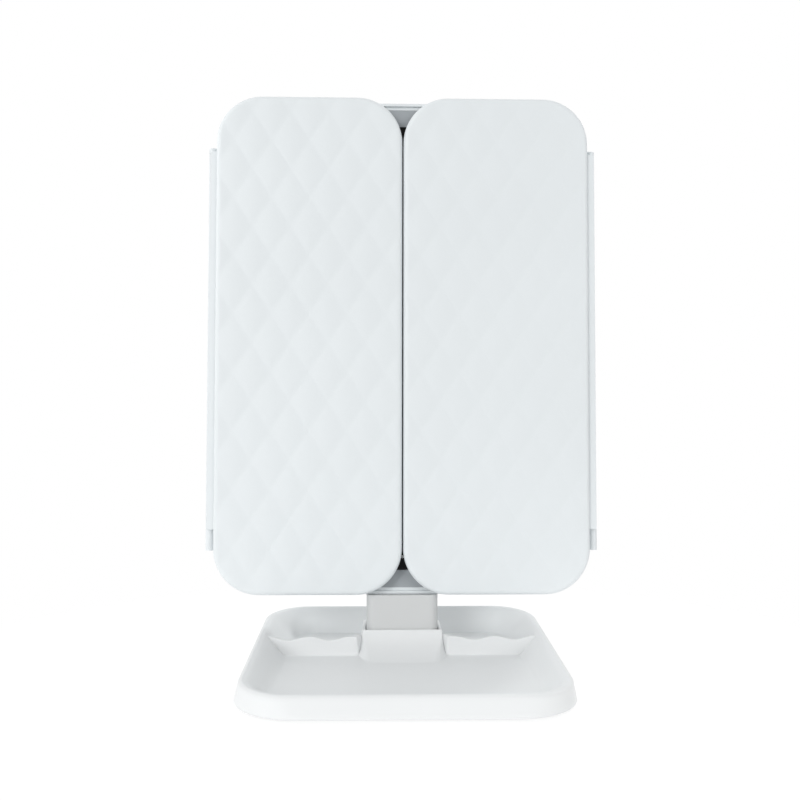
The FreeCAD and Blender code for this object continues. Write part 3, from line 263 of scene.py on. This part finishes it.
def silvered(name, touch=None):
    """Mirror glass: silver with a cool cast, faint wiping smears, and a small frosted ring over the
    touch sensor where touch gives its place."""
    f = Finish(name, Metallic=1.0)
    smear = f.ramp(f.noise(16, 5.0, 0.6, (1, 1, 3)), (0.45, 0.0), (0.8, 1.0))
    specks = f.ramp(f.noise(1.6, 2.0), (0.70, 0.0), (0.76, 1.0))
    rough = smear * 0.02 + specks * 0.03 + 0.01
    colour = f.mix(smear, (0.86, 0.885, 0.895), (0.83, 0.85, 0.86))
    if touch is None:
        return f.set(Base_Color=colour, Roughness=rough)
    offset = f.add("ShaderNodeVectorMath", {"operation": "SUBTRACT"}, {0: f.place, 1: touch})
    away = f.add("ShaderNodeVectorMath", {"operation": "LENGTH"}, {0: offset}, "Value") / MM
    # the ring lies between 3.7 and 4.7 mm from the sensor's middle, and the ramp spans 10 mm
    band = f.ramp(away / 10, (0.36, 0.0), (0.38, 1.0), (0.46, 1.0), (0.48, 0.0))
    return f.set(
        Base_Color=f.mix(band, colour, (0.95, 0.97, 0.98)),
        Roughness=rough * (1 - band) + band * 0.45,
        Metallic=1 - band,
    )


def frosted(name, colour):
    """Sand-blasted acrylic: an even matt skin with fine sparkle."""
    f = Finish(name, IOR=1.49)
    grain = f.noise(0.25, 2.0, 0.7)
    cloud = f.noise(40, 3.0)
    low = tuple(c * 0.96 for c in colour)
    return f.set(
        Base_Color=f.mix(cloud, low, colour),
        Roughness=grain * 0.12 + 0.5,
        Normal=f.bump(grain, 0.012),
    )


def metal(name, colour, rough, stretch=(1, 1, 1)):
    """Plated steel: fine brushing or tumbling marks and dull patches."""
    f = Finish(name, Metallic=1.0)
    brushed = f.noise(0.5, 4.0, 0.6, stretch)
    patch = f.noise(7, 4.0)
    low = tuple(c * 0.82 for c in colour)
    return f.set(
        Base_Color=f.mix(patch, low, colour),
        Roughness=brushed * 0.14 + patch * 0.1 + (rough - 0.1),
        Normal=f.bump(brushed, 0.01),
    )


def soft(name, colour, rough, grain):
    """Rubber, foam or a printed board: matt, with a visible grain."""
    f = Finish(name)
    cell = f.noise(grain, 4.0, 0.7)
    cloud = f.noise(25, 3.0)
    low = tuple(c * 0.8 for c in colour)
    return f.set(
        Base_Color=f.mix(cloud * 0.5 + cell * 0.5, low, colour),
        Roughness=cell * 0.1 + (rough - 0.05),
        Normal=f.bump(cell, grain * 0.08),
    )


def glowing(name, colour, strength, near, far):
    """A pale matt floor that also gives light. It thins out to nothing between two distances from
    its middle."""
    f = Finish(name, Roughness=0.9, Emission_Color=(1, 1, 1, 1), Emission_Strength=strength)
    low = tuple(c * 0.99 for c in colour)
    away = f.add("ShaderNodeVectorMath", {"operation": "LENGTH"}, {0: f.place}, "Value")
    thinning = {0: away, 1: near, 2: far, 3: 1.0, 4: 0.0}
    return f.set(
        Base_Color=f.mix(f.noise(3.0, 3.0), low, colour),
        Alpha=f.add("ShaderNodeMapRange", {"interpolation_type": "SMOOTHSTEP"}, thinning),
    )


WHITE = (0.755, 0.792, 0.808)
NEUTRAL_WHITE = (0.765, 0.78, 0.785)
# the neck's white is painted darker: painted shade for the shadow the head and wings cast on it
NECK_WHITE_WITH_PAINTED_SHADE = (0.62, 0.63, 0.63)
TOUCH = tuple((a + b) / 2 for a, b in zip(*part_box("touch_pad")))
finishes = {
    "white": moulded("satin_white_plastic", WHITE, 0.38),
    "quilt": moulded("quilted_white_plastic", WHITE, 0.34, grain=0.7, depth=0.006),
    "tray": moulded("tray_white_plastic", NEUTRAL_WHITE, 0.42, grain=0.45, depth=0.01),
    # the neck's finish carries painted shade from the head and wings above it
    "neck": moulded("neck_plastic_with_painted_shade", NECK_WHITE_WITH_PAINTED_SHADE, 0.45, grain=0.45, depth=0.01),
    "grey": moulded("grey_plastic", (0.62, 0.63, 0.64), 0.5, grain=0.8, depth=0.03),
    "black": moulded("black_plastic", (0.035, 0.035, 0.037), 0.45, grain=0.3, depth=0.02, tone=0.1),
    # the light ring's grey is partly the frosted acrylic's own tone and partly painted shade of the
    # recess behind the closed wings
    "diffuser": frosted("frosted_acrylic", (0.37, 0.395, 0.415)),
    "mirror": silvered("mirror_glass"),
    "touch_mirror": silvered("mirror_glass_with_touch_ring", TOUCH),
    "steel": metal("zinc_plated_steel", (0.66, 0.66, 0.68), 0.34),
    "nickel": metal("nickel_plated_steel", (0.72, 0.70, 0.66), 0.28),
    "copper": metal("copper_foil", (0.80, 0.46, 0.30), 0.4),
    "rubber": soft("feet_rubber", (0.22, 0.22, 0.22), 0.85, 0.6),
    "foam": soft("closed_cell_foam", (0.30, 0.30, 0.31), 0.95, 0.9),
    "board": soft("green_circuit_board", (0.03, 0.24, 0.11), 0.45, 1.4),
    "cells": moulded("cell_wrap", (0.10, 0.12, 0.16), 0.3, tone=0.15),
    "strip": moulded("lamp_strip", (0.86, 0.83, 0.66), 0.45),
}
NODE_FINISH = {
    "white": (
        "head_bezel", "head_housing", "light_tray", "battery_door",
        "wing_left_frame", "wing_right_frame",
    ),
    "quilt": ("wing_left_cover", "wing_right_cover"),
    "tray": ("base_tray",),
    "neck": ("neck", "neck_cover"),
    "grey": ("base_plate",),
    "black": ("power_switch", "power_knob"),
    "diffuser": ("light_ring",),
    "mirror": ("wing_left_mirror_upper", "wing_left_mirror_lower", "wing_right_mirror"),
    "touch_mirror": ("centre_mirror",),
    "steel": (
        "ballast_plate", "base_screws", "tilt_bracket", "bracket_screws", "tilt_shaft",
        "tilt_washers", "collar_screws", "head_screws", "board_screws", "wing_left_pin",
        "wing_right_pin",
    ),
    "nickel": ("battery_contacts", "usb_jack"),
    "copper": ("touch_pad",),
    "rubber": ("base_feet",),
    "foam": ("wing_left_backing", "wing_right_backing"),
    "board": ("circuit_board",),
    "cells": ("batteries",),
    "strip": ("led_strip",),
}
for key, nodes in NODE_FINISH.items():
    for node in nodes:
        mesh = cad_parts[node].data
        mesh.materials.clear()
        mesh.materials.append(finishes[key])

# ------------------------------------------------------------------------------------ wing covers
WING_LOW, WING_HIGH = (np.array(corner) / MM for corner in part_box("wing_right_cover"))
WING_HALF = (WING_HIGH - WING_LOW)[[0, 2]] / 2
WING_FACE, WING_BACK = WING_LOW[1], WING_HIGH[1]
WING_CORNER = 22.0
EDGE_ROUND = 2.6
COVER_WALL = 1.4
COVER_SKIN = 1.6
QUILT_PITCH = 15.3
QUILT_LEAN = math.radians(33)
QUILT_DEPTH = 0.55
QUILT_SEAM = 0.12
BACK_CHAMFER, HOLLOW_CHAMFER = 0.2, 0.15
COVER_STEPS = (42, 180, 26)  # along X, along Z and round a corner
FACE_RINGS, EDGE_RINGS, SIDE_RINGS = 40, 8, 4


def quilt_height(x, z):
    """The quilting's relief, from 0 on top of a pillow to about -0.9 where two seams cross. Each
    family of seams is a cosine across the pitch, rounded by QUILT_SEAM where it nears 0, and a
    pillow's height is the square root of the product of the two."""
    pillow = 1.0
    for lean in (QUILT_LEAN, -QUILT_LEAN):
        across = (x * math.cos(lean) + z * math.sin(lean)) / QUILT_PITCH
        swell = np.cos(math.pi * across) ** 2
        pillow = pillow * np.sqrt(swell + QUILT_SEAM**2)
    return np.sqrt(pillow) / (1 + QUILT_SEAM**2) ** 0.5 - 1


def wing_cover(name, node, body):
    """A wing's quilted shell: rings of a rounded rectangle that follow a profile of (inset, depth
    behind the face), from the middle of the face over its round edge to the hollow inside."""
    low, high = (np.array(corner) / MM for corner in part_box(node))
    middle = (low + high)[[0, 2]] / 2
    path = rounded_path(*COVER_STEPS)
    inner = WING_HALF[0]
    turn = np.linspace(0, math.pi / 2, EDGE_RINGS)
    face = np.linspace(inner, EDGE_ROUND, FACE_RINGS)[:-1]
    rings = [(inset, 0.0) for inset in face]
    rings += [(EDGE_ROUND * (1 - math.sin(a)), EDGE_ROUND * (1 - math.cos(a))) for a in turn]
    depth = WING_BACK - WING_FACE
    rings += [(0.0, t) for t in np.linspace(EDGE_ROUND, depth - BACK_CHAMFER, SIDE_RINGS)[1:]]
    rings += [(BACK_CHAMFER, depth), (COVER_WALL - HOLLOW_CHAMFER, depth)]
    rings += [(COVER_WALL, depth - HOLLOW_CHAMFER)]
    rings += [(COVER_WALL, COVER_SKIN), (inner * 0.5, COVER_SKIN), (inner, COVER_SKIN)]
    points = []
    for k, (inset, back) in enumerate(rings):
        corner = WING_CORNER - inset
        if inset > EDGE_ROUND:
            corner = (WING_CORNER - EDGE_ROUND) * (inner - inset) / (inner - EDGE_ROUND)
        x, z = rounded_ring(path, WING_HALF - inset, corner).T
        relief = 0.0
        if back < EDGE_ROUND and k < len(face) + len(turn):
            relief = quilt_height(x, z) * QUILT_DEPTH * smooth_step(inset / EDGE_ROUND)
        y = np.broadcast_to(WING_FACE + back - relief, x.shape)
        points.append(np.stack([x + middle[0], y, z + middle[1]], axis=1))
    points = np.concatenate(points)
    faces = quads(len(rings), len(path[0]), closed=True)
    piece(name, points, faces, body, node, finishes["quilt"])


# ------------------------------------------------------------------------------------ head and neck
HEAD_LOW, HEAD_HIGH = (np.array(corner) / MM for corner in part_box("head_bezel"))
BEZEL_CORNER = 22.0
BEZEL_STEP = 0.6
BEZEL_WIDTH = 3.5
GROOVE = 0.7
OPENING_GAIN = 0.5
NECK_SHOULDER = 31.6
NECK_GAP = 0.02
ON_LEVEL, ON_OUTLINE = 0.05, 0.1  # a point this near lies on that level or outline
RIM_WIDTH = 1.0


def bezel():
    """The head's front frame: its inner band is set back from the rim, and the opening in it is
    a little wider than the light ring's seat."""
    points, faces = welded("head_bezel")
    middle, half = (HEAD_LOW + HEAD_HIGH)[[0, 2]] / 2, (HEAD_HIGH - HEAD_LOW)[[0, 2]] / 2
    flat = points[:, [0, 2]] - middle
    inside = -box_distance(flat[:, 0], flat[:, 1], half, BEZEL_CORNER)
    stepped = np.abs(points[:, 1] - HEAD_LOW[1] - BEZEL_STEP) < ON_LEVEL
    band = stepped & (inside > RIM_WIDTH)
    edge = np.abs(inside - BEZEL_WIDTH) < ON_OUTLINE
    out = np.sign(flat) * np.maximum(np.abs(flat) - (half - BEZEL_CORNER), 0)
    out = out / np.maximum(np.linalg.norm(out, axis=1, keepdims=True), TINY)
    points[:, [0, 2]] += out * OPENING_GAIN * edge[:, None]
    points[:, 1] += GROOVE * band
    piece("bezel", points, faces, "head", "head_bezel", finishes["white"])


def neck():
    """The neck, with its shoulder carried up to the head's underside."""
    points, faces = welded("neck")
    shoulder = np.abs(points[:, 2] - NECK_SHOULDER) < ON_LEVEL
    points[shoulder, 2] = HEAD_LOW[2] - NECK_GAP
    piece("neck_sleeve", points, faces, "head", "neck", finishes["neck"])


# ------------------------------------------------------------------------------------ tray
TRAY_LOW, TRAY_HIGH = (np.array(corner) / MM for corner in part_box("base_tray"))
FOOT_HALF, FOOT_CORNER, FOOT_Z = TRAY_HIGH[:2], 28.0, TRAY_LOW[2]
SIDE_LEAN = (2.2, 2.15)
RIM_HALF, RIM_CORNER = FOOT_HALF - SIDE_LEAN, 21.3
RIM_FRONT, RIM_REAR = 9.4, TRAY_HIGH[2]
LIP, LIP_DROP = 2.3, 0.1
# the rings over the lip, as (inset, drop under the rim's plane)
LIP_RINGS = ((2.0, 0.03), (1.7, 0.0), (1.4, 0.06), (1.0, 0.22), (0.6, 0.43), (0.25, 0.72))
BROW_DROP, HEM = 1.1, 0.8  # the outside is straight from this far under the rim to the hem
FLOOR_Z, UNDER_Z, UNDER_LIP = 5.3, 3.7, 2.2
# the rings round the foot, as (inset, height)
FOOT_RINGS = ((0.1, 0.4), (0.35, 0.1), (0.8, 0.0), (UNDER_LIP, 0.0))
FLOOR_HALF, FLOOR_CORNER, FLOOR_MIDDLE = (54.0, 57.4), 12.0, (0.0, 1.0)
DIVIDER_Y, DIVIDER_HALF, DIVIDER_HEIGHT = 15.0, 1.45, 8.5
DIVIDER_CHAMFER, DIVIDER_END, DIVIDER_STEEPNESS = 0.5, 1.5, 10
WEB_X, WEB = 24.0, 3.0  # beside the socket, up to WEB_X, a divider is thicker behind by WEB
WAVE, WAVE_DEPTH, WAVE_END = 19.3, 1.7, 63.0
SOCKET_X, SOCKET_FRONT, SOCKET_REAR, SOCKET_TOP = 19.0, 17.9, 39.98, 16.0
SOCKET_FLARE = (4.0, 24.0, 3.0)  # its reach at the side, in front and behind
SOCKET_TAPER = 6.0
SOCKET_ROUND, SOCKET_ROUND_DROP = 1.2, 0.5
SOCKET_SWEEP = 0.62
SLOT_X, SLOT_FRONT, SLOT_REAR = 17.45, 19.2, 38.68
SLOT_CHAMFER, SLOT_CHAMFER_DROP = 0.4, 0.3
JOIN = 12  # the power of the norm that joins walls, dividers and socket
# where the inside's grid grows finer or coarser, and the steps of a bend and of the outside
GRID_Y = (4.0, 12.8, 16.4)
GRID_X = (20.4, 25.0, 54.0)
BEND_STEPS, WALL_RINGS = 25, 7


def rim_height(y):
    """The rim lies in a plane that climbs from the front edge to the rear edge."""
    return RIM_FRONT + (RIM_REAR - RIM_FRONT) * (y + RIM_HALF[1]) / (2 * RIM_HALF[1])


def divider_height(x, y):
    """The dividers: a rib whose section is a steep bell, and whose top is a cosine wave between the
    tray's side and the level stretch beside the socket. It ends there in a chamfer, and is wider
    behind, up to the socket's side."""
    along = np.clip(np.abs(x), WAVE_END - 2 * WAVE, WAVE_END)
    top = DIVIDER_HEIGHT - WAVE_DEPTH / 2 * (1 - np.cos(2 * math.pi * (WAVE_END - along) / WAVE))
    past_end = np.abs(x) - SOCKET_X - DIVIDER_CHAMFER * (SOCKET_FRONT - y)
    web = WEB * smooth_step(WEB_X - np.abs(x)) * (y > DIVIDER_Y)
    across = np.maximum(np.abs(y - DIVIDER_Y) - web, 0)
    end = smooth_step(past_end / DIVIDER_END + 0.5)
    return end * top / (1 + (across / DIVIDER_HALF) ** DIVIDER_STEEPNESS)


def socket_height(x, y):
    """The socket: level on top with a rounded brow, a quarter of an ellipse, and outside it a flare
    whose height h at a share a of its reach lies on the hollow curve a^k + h^k = 1, steep at the
    top and level at the foot. It reaches furthest in front, where it also grows narrower."""
    side, front, rear = SOCKET_FLARE
    ahead = np.maximum(SOCKET_FRONT - y, 0) / front
    behind = np.maximum(y - SOCKET_REAR, 0) / rear
    beside = np.maximum(np.abs(x) - (SOCKET_X - SOCKET_TAPER * ahead), 0) / side
    away = np.clip(np.hypot(beside, ahead + behind), 0, 1)
    to_edge = np.maximum(np.abs(x) - SOCKET_X, np.maximum(SOCKET_FRONT - y, y - SOCKET_REAR))
    brow = np.clip(1 + to_edge / SOCKET_ROUND, 0, 1)
    # 0.99 stops the ellipse just short of its upright end
    rounding = SOCKET_ROUND_DROP * (1 - np.sqrt(1 - 0.99 * brow**2))
    hollow = (1 - away**SOCKET_SWEEP) ** (1 / SOCKET_SWEEP)
    return (SOCKET_TOP - FLOOR_Z) * hollow - rounding


def basin_height(x, y):
    """The tray's inside above its floor: the walls climb in an S from the floor's outline to the
    rim, the dividers run out in the last sixth of that climb, and walls, dividers and socket are
    joined as a JOIN-norm, which rounds the corners between them. The socket's slot is chamfered."""
    half, corner = RIM_HALF - LIP, RIM_CORNER - LIP
    from_floor = np.maximum(box_distance(x, y, FLOOR_HALF, FLOOR_CORNER, FLOOR_MIDDLE), 0)
    to_rim = np.maximum(-box_distance(x, y, half, corner), 0)
    climb = smooth_step(from_floor / np.maximum(from_floor + to_rim, TINY))
    wall = (rim_height(y) - LIP_DROP - FLOOR_Z) * climb
    rib = divider_height(x, y) * np.clip(6 * (1 - climb), 0, 1)
    socket = np.maximum(socket_height(x, y), 0)
    level = (wall**JOIN + rib**JOIN + socket**JOIN) ** (1 / JOIN)
    to_slot = np.hypot(
        np.maximum(np.abs(x) - SLOT_X, 0),
        np.maximum(SLOT_FRONT - y, 0) + np.maximum(y - SLOT_REAR, 0),
    )
    return level - SLOT_CHAMFER_DROP * np.clip(1 - to_slot / SLOT_CHAMFER, 0, 1)


def inside_grid():
    """The grid over the tray's inside, whose rows run along X and end on the rim's outline: the
    X and the Y of its points, and the way round its border in the manner of rounded_path."""
    half, corner = RIM_HALF - LIP, RIM_CORNER - LIP
    straight = half[1] - corner
    bend = corner * np.sin(np.linspace(0, math.pi / 2, BEND_STEPS))
    flare, rib_front, rib_rear = GRID_Y
    middle = stations(
        (-straight, flare, 32), (flare, rib_front, 14), (rib_front, rib_rear, 22),
        (rib_rear, SLOT_FRONT, 22), (SLOT_FRONT, SLOT_REAR, 10), (SLOT_REAR, straight, 9),
    )
    y = np.concatenate([-(straight + bend[:0:-1]), middle, straight + bend[1:]])
    socket_end, web_end, wall_foot = GRID_X
    right = stations(
        (0.0, SLOT_X, 14), (SLOT_X, socket_end, 14), (socket_end, web_end, 10),
        (web_end, wall_foot, 36), (wall_foot, half[0], 20),
    )
    u = np.concatenate([-right[:0:-1], right]) / half[0]
    past = np.clip((np.abs(y) - straight) / corner, 0, 1)
    width = half[0] - corner + corner * np.sqrt(1 - past**2)
    level = np.ones(len(u) - 1)
    flip = np.array([-1, 1])
    side_core = np.stack([np.ones(len(y)), np.clip(y / straight, -1, 1)], axis=1)
    side_normal = np.stack([np.sqrt(1 - past**2), np.sign(y) * past], axis=1)
    core = np.concatenate([
        np.stack([u[:-1], -level], axis=1), side_core[:-1],
        np.stack([u[:0:-1], level], axis=1), side_core[:0:-1] * flip,
    ])
    normal = np.concatenate([
        np.stack([0 * level, -level], axis=1), side_normal[:-1],
        np.stack([0 * level, level], axis=1), side_normal[:0:-1] * flip,
    ])
    return u[None, :] * width[:, None], np.repeat(y[:, None], len(u), axis=1), (core, normal)


def outside_rings(path):
    """The rings that go over the lip, down the outside and round the foot to the underside."""

    def rim_ring(inset, drop):
        flat = rounded_ring(path, RIM_HALF - inset, RIM_CORNER - inset)
        return np.column_stack([flat, rim_height(flat[:, 1]) - drop])

    def foot_ring(inset, level):
        flat = rounded_ring(path, FOOT_HALF - inset, FOOT_CORNER - inset)
        return np.column_stack([flat, np.full(len(flat), level)])

    rings = [rim_ring(inset, drop) for inset, drop in LIP_RINGS]
    brow, hem = rim_ring(0, BROW_DROP), foot_ring(0, FOOT_Z + HEM)
    rings += [brow + (hem - brow) * t for t in np.linspace(0, 1, WALL_RINGS)]
    rings += [foot_ring(inset, FOOT_Z + height) for inset, height in FOOT_RINGS]
    return rings + [foot_ring(UNDER_LIP, UNDER_Z)]


def tray():
    """The tray as one closed surface: the inside is a height over a grid, rings join the grid's
    border to that of a second, level grid on the underside, and the socket's slot goes through."""
    grid_x, grid_y, path = inside_grid()
    rows, columns = grid_x.shape
    top = np.stack([grid_x, grid_y, FLOOR_Z + basin_height(grid_x, grid_y)], axis=-1)
    under = np.stack([grid_x, grid_y, np.full_like(grid_x, UNDER_Z)], axis=-1)
    rings = outside_rings(path)
    points = np.concatenate([top.reshape(-1, 3), np.concatenate(rings), under.reshape(-1, 3)])

    # the outside: faces between the border, the rings and the underside's border
    index = np.arange(rows * columns).reshape(rows, columns)
    border = np.concatenate([index[0, :-1], index[:-1, -1], index[-1, :0:-1], index[:0:-1, 0]])
    round_once = np.arange(len(border))
    first_under = rows * columns + len(rings) * len(border)
    ladder = [rows * columns + k * len(border) + round_once for k in range(len(rings))]
    ladder = np.stack([border, *ladder, first_under + border])
    ladder = np.concatenate([ladder, ladder[:, :1]], axis=1)
    skirt = np.stack([ladder[:-1, :-1], ladder[1:, :-1], ladder[1:, 1:], ladder[:-1, 1:]], -1)

    # the slot: the cells in it are left out above and below, and a shaft joins the two holes
    cell_x = (grid_x[:-1, :-1] + grid_x[1:, 1:]) / 2
    cell_y = (grid_y[:-1, :-1] + grid_y[1:, 1:]) / 2
    hole = (np.abs(cell_x) < SLOT_X) & (cell_y > SLOT_FRONT) & (cell_y < SLOT_REAR)
    r = np.flatnonzero(hole.any(axis=1))[[0, -1]] + (0, 1)
    c = np.flatnonzero(hole.any(axis=0))[[0, -1]] + (0, 1)
    loop = np.concatenate([
        index[r[0], c[0]:c[1]], index[r[0]:r[1], c[1]],
        index[r[1], c[1]:c[0]:-1], index[r[1]:r[0]:-1, c[0]],
    ])
    after = np.roll(loop, -1)
    shaft = np.stack([loop, after, first_under + after, first_under + loop], axis=1)

    inside = quads(rows, columns).reshape(rows - 1, columns - 1, 4)[~hole]
    underside = first_under + inside[:, ::-1]
    faces = np.concatenate([inside, skirt.reshape(-1, 4), underside, shaft[:, ::-1]])
    piece("tray", points, faces, "base", "base_tray", finishes["tray"])


wing_cover("left_quilted_cover", "wing_left_cover", "wing_left")
wing_cover("right_quilted_cover", "wing_right_cover", "wing_right")
tray()
bezel()
neck()

# ------------------------------------------------------------------------------------ the studio
# a round floor that thins out towards its edge, just clear of the feet; lengths in metres
STAGE_REACH, STAGE_FADE, STAGE_LEVEL = 0.26, 0.15, -0.0001
STAGE_GREY, STAGE_GLOW, STAGE_CORNERS = (0.30, 0.30, 0.30), 0.72, 96
floor_mesh = bpy.data.meshes.new("studio_floor")
floor_mesh.from_pydata([
    (STAGE_REACH * math.cos(a), STAGE_REACH * math.sin(a), STAGE_LEVEL)
    for a in np.linspace(0, 2 * math.pi, STAGE_CORNERS + 1)[:-1]
], [], [tuple(range(STAGE_CORNERS))])
floor_mesh.materials.append(glowing("pale_floor", STAGE_GREY, STAGE_GLOW, STAGE_FADE, STAGE_REACH))
floor = bpy.data.objects.new("studio_floor", floor_mesh)
bpy.context.scene.collection.objects.link(floor)


def area_light(name, place, target, size, power):
    """A round lamp of a size in metres and a power in watts, aimed at target. It is left out of
    glossy reflections, so the mirrors show the room and no lamp."""
    light = bpy.data.lights.new(name, "AREA")
    light.shape, light.size, light.energy = "DISK", size, power
    lamp = bpy.data.objects.new(name, light)
    bpy.context.scene.collection.objects.link(lamp)
    lamp.location = place
    lamp.visible_glossy = False
    lamp.rotation_euler = (Vector(target) - Vector(place)).to_track_quat("-Z", "Y").to_euler()


LAMPS = (
    ("key", (-0.80, -1.25, 0.45), (0, 0, 0.10), 0.55, 7.2),
    ("low_key", (-0.22, -0.80, 0.06), (0, 0, 0.08), 0.30, 0.2),
    ("high_key", (-0.15, -0.80, 0.85), (0, 0, 0.02), 0.40, 0.85),
    ("fill", (0.90, -1.20, 0.45), (0, 0, 0.10), 0.55, 4.1),
    ("left_rake", (-0.30, -0.035, 0.25), (0, 0.015, 0.20), 0.05, 0.10),
    ("right_rake", (0.30, -0.035, 0.27), (0, 0.015, 0.22), 0.05, 0.06),
    ("rear_key", (0.75, 0.75, 0.75), (0, 0, 0.15), 0.25, 4.0),
)
for lamp in LAMPS:
    area_light(*lamp)

# the room: white to look at; as a light it is brightest behind and a little brighter on the left,
# with a dim doorway in front
ROOM_LIGHT, LEFT_LIGHT, REAR_LIGHT, DOORWAY_LIGHT = 0.64, 0.15, 0.25, 0.01
world = bpy.data.worlds.new("studio")
world.use_nodes = True
room = Graph(world.node_tree)
direction = room.add("ShaderNodeTexCoord", output="Generated")
sideways, forward = (room.add("ShaderNodeSeparateXYZ", None, {0: direction}, k) for k in range(2))
behind = room.add("ShaderNodeMapRange", None, {0: forward, 1: -0.2, 2: 0.6, 3: 0.0, 4: 1.0})
from_front = room.add("ShaderNodeMapRange", None, {0: forward, 1: -0.9, 2: 0.2, 3: 1.0, 4: 0.0})
beside = room.add("ShaderNodeMath", {"operation": "ABSOLUTE"}, {0: sideways})
beside = room.add("ShaderNodeMapRange", None, {0: beside, 1: 0.16, 2: 0.26})
doorway = from_front * (1 - beside)
seen = room.add("ShaderNodeLightPath", output="Is Camera Ray")
even = ROOM_LIGHT - sideways * LEFT_LIGHT
strength = seen + (1 - seen) * (behind * REAR_LIGHT + (1 - doorway) * even + DOORWAY_LIGHT)
backdrop = world.node_tree.nodes["Background"]
backdrop.inputs["Color"].default_value = (1, 1, 1, 1)
feed(world.node_tree, backdrop.inputs["Strength"], strength)
bpy.context.scene.world = world
bpy.context.scene.view_settings.view_transform = "Standard"

# the camera stands low in front of the object, a little to its left, and looks slightly up
CAMERA_PLACE = (-11.0 * MM, -393.3 * MM, 110.0 * MM)
CAMERA_PAN, CAMERA_LIFT, CAMERA_ROLL = (math.radians(a) for a in (1.358, 2.175, 0.08))
FOCAL_LENGTH_IN_FRAME_WIDTHS = 855.2 / 800
ahead = Vector((
    math.sin(CAMERA_PAN) * math.cos(CAMERA_LIFT),
    math.cos(CAMERA_PAN) * math.cos(CAMERA_LIFT),
    math.sin(CAMERA_LIFT),
))
level = ahead.cross(Vector((0, 0, 1))).normalized()
upward = level.cross(ahead)
across = level * math.cos(CAMERA_ROLL) + upward * math.sin(CAMERA_ROLL)
up = upward * math.cos(CAMERA_ROLL) - level * math.sin(CAMERA_ROLL)
lens = bpy.data.cameras.new("camera")
lens.sensor_width = 36.0
lens.lens = lens.sensor_width * FOCAL_LENGTH_IN_FRAME_WIDTHS
lens.clip_start = 0.01
camera = bpy.data.objects.new("camera", lens)
stance = Matrix((across, up, -ahead)).transposed().to_4x4()
camera.matrix_world = Matrix.Translation(CAMERA_PLACE) @ stance
bpy.context.scene.collection.objects.link(camera)
bpy.context.scene.camera = camera
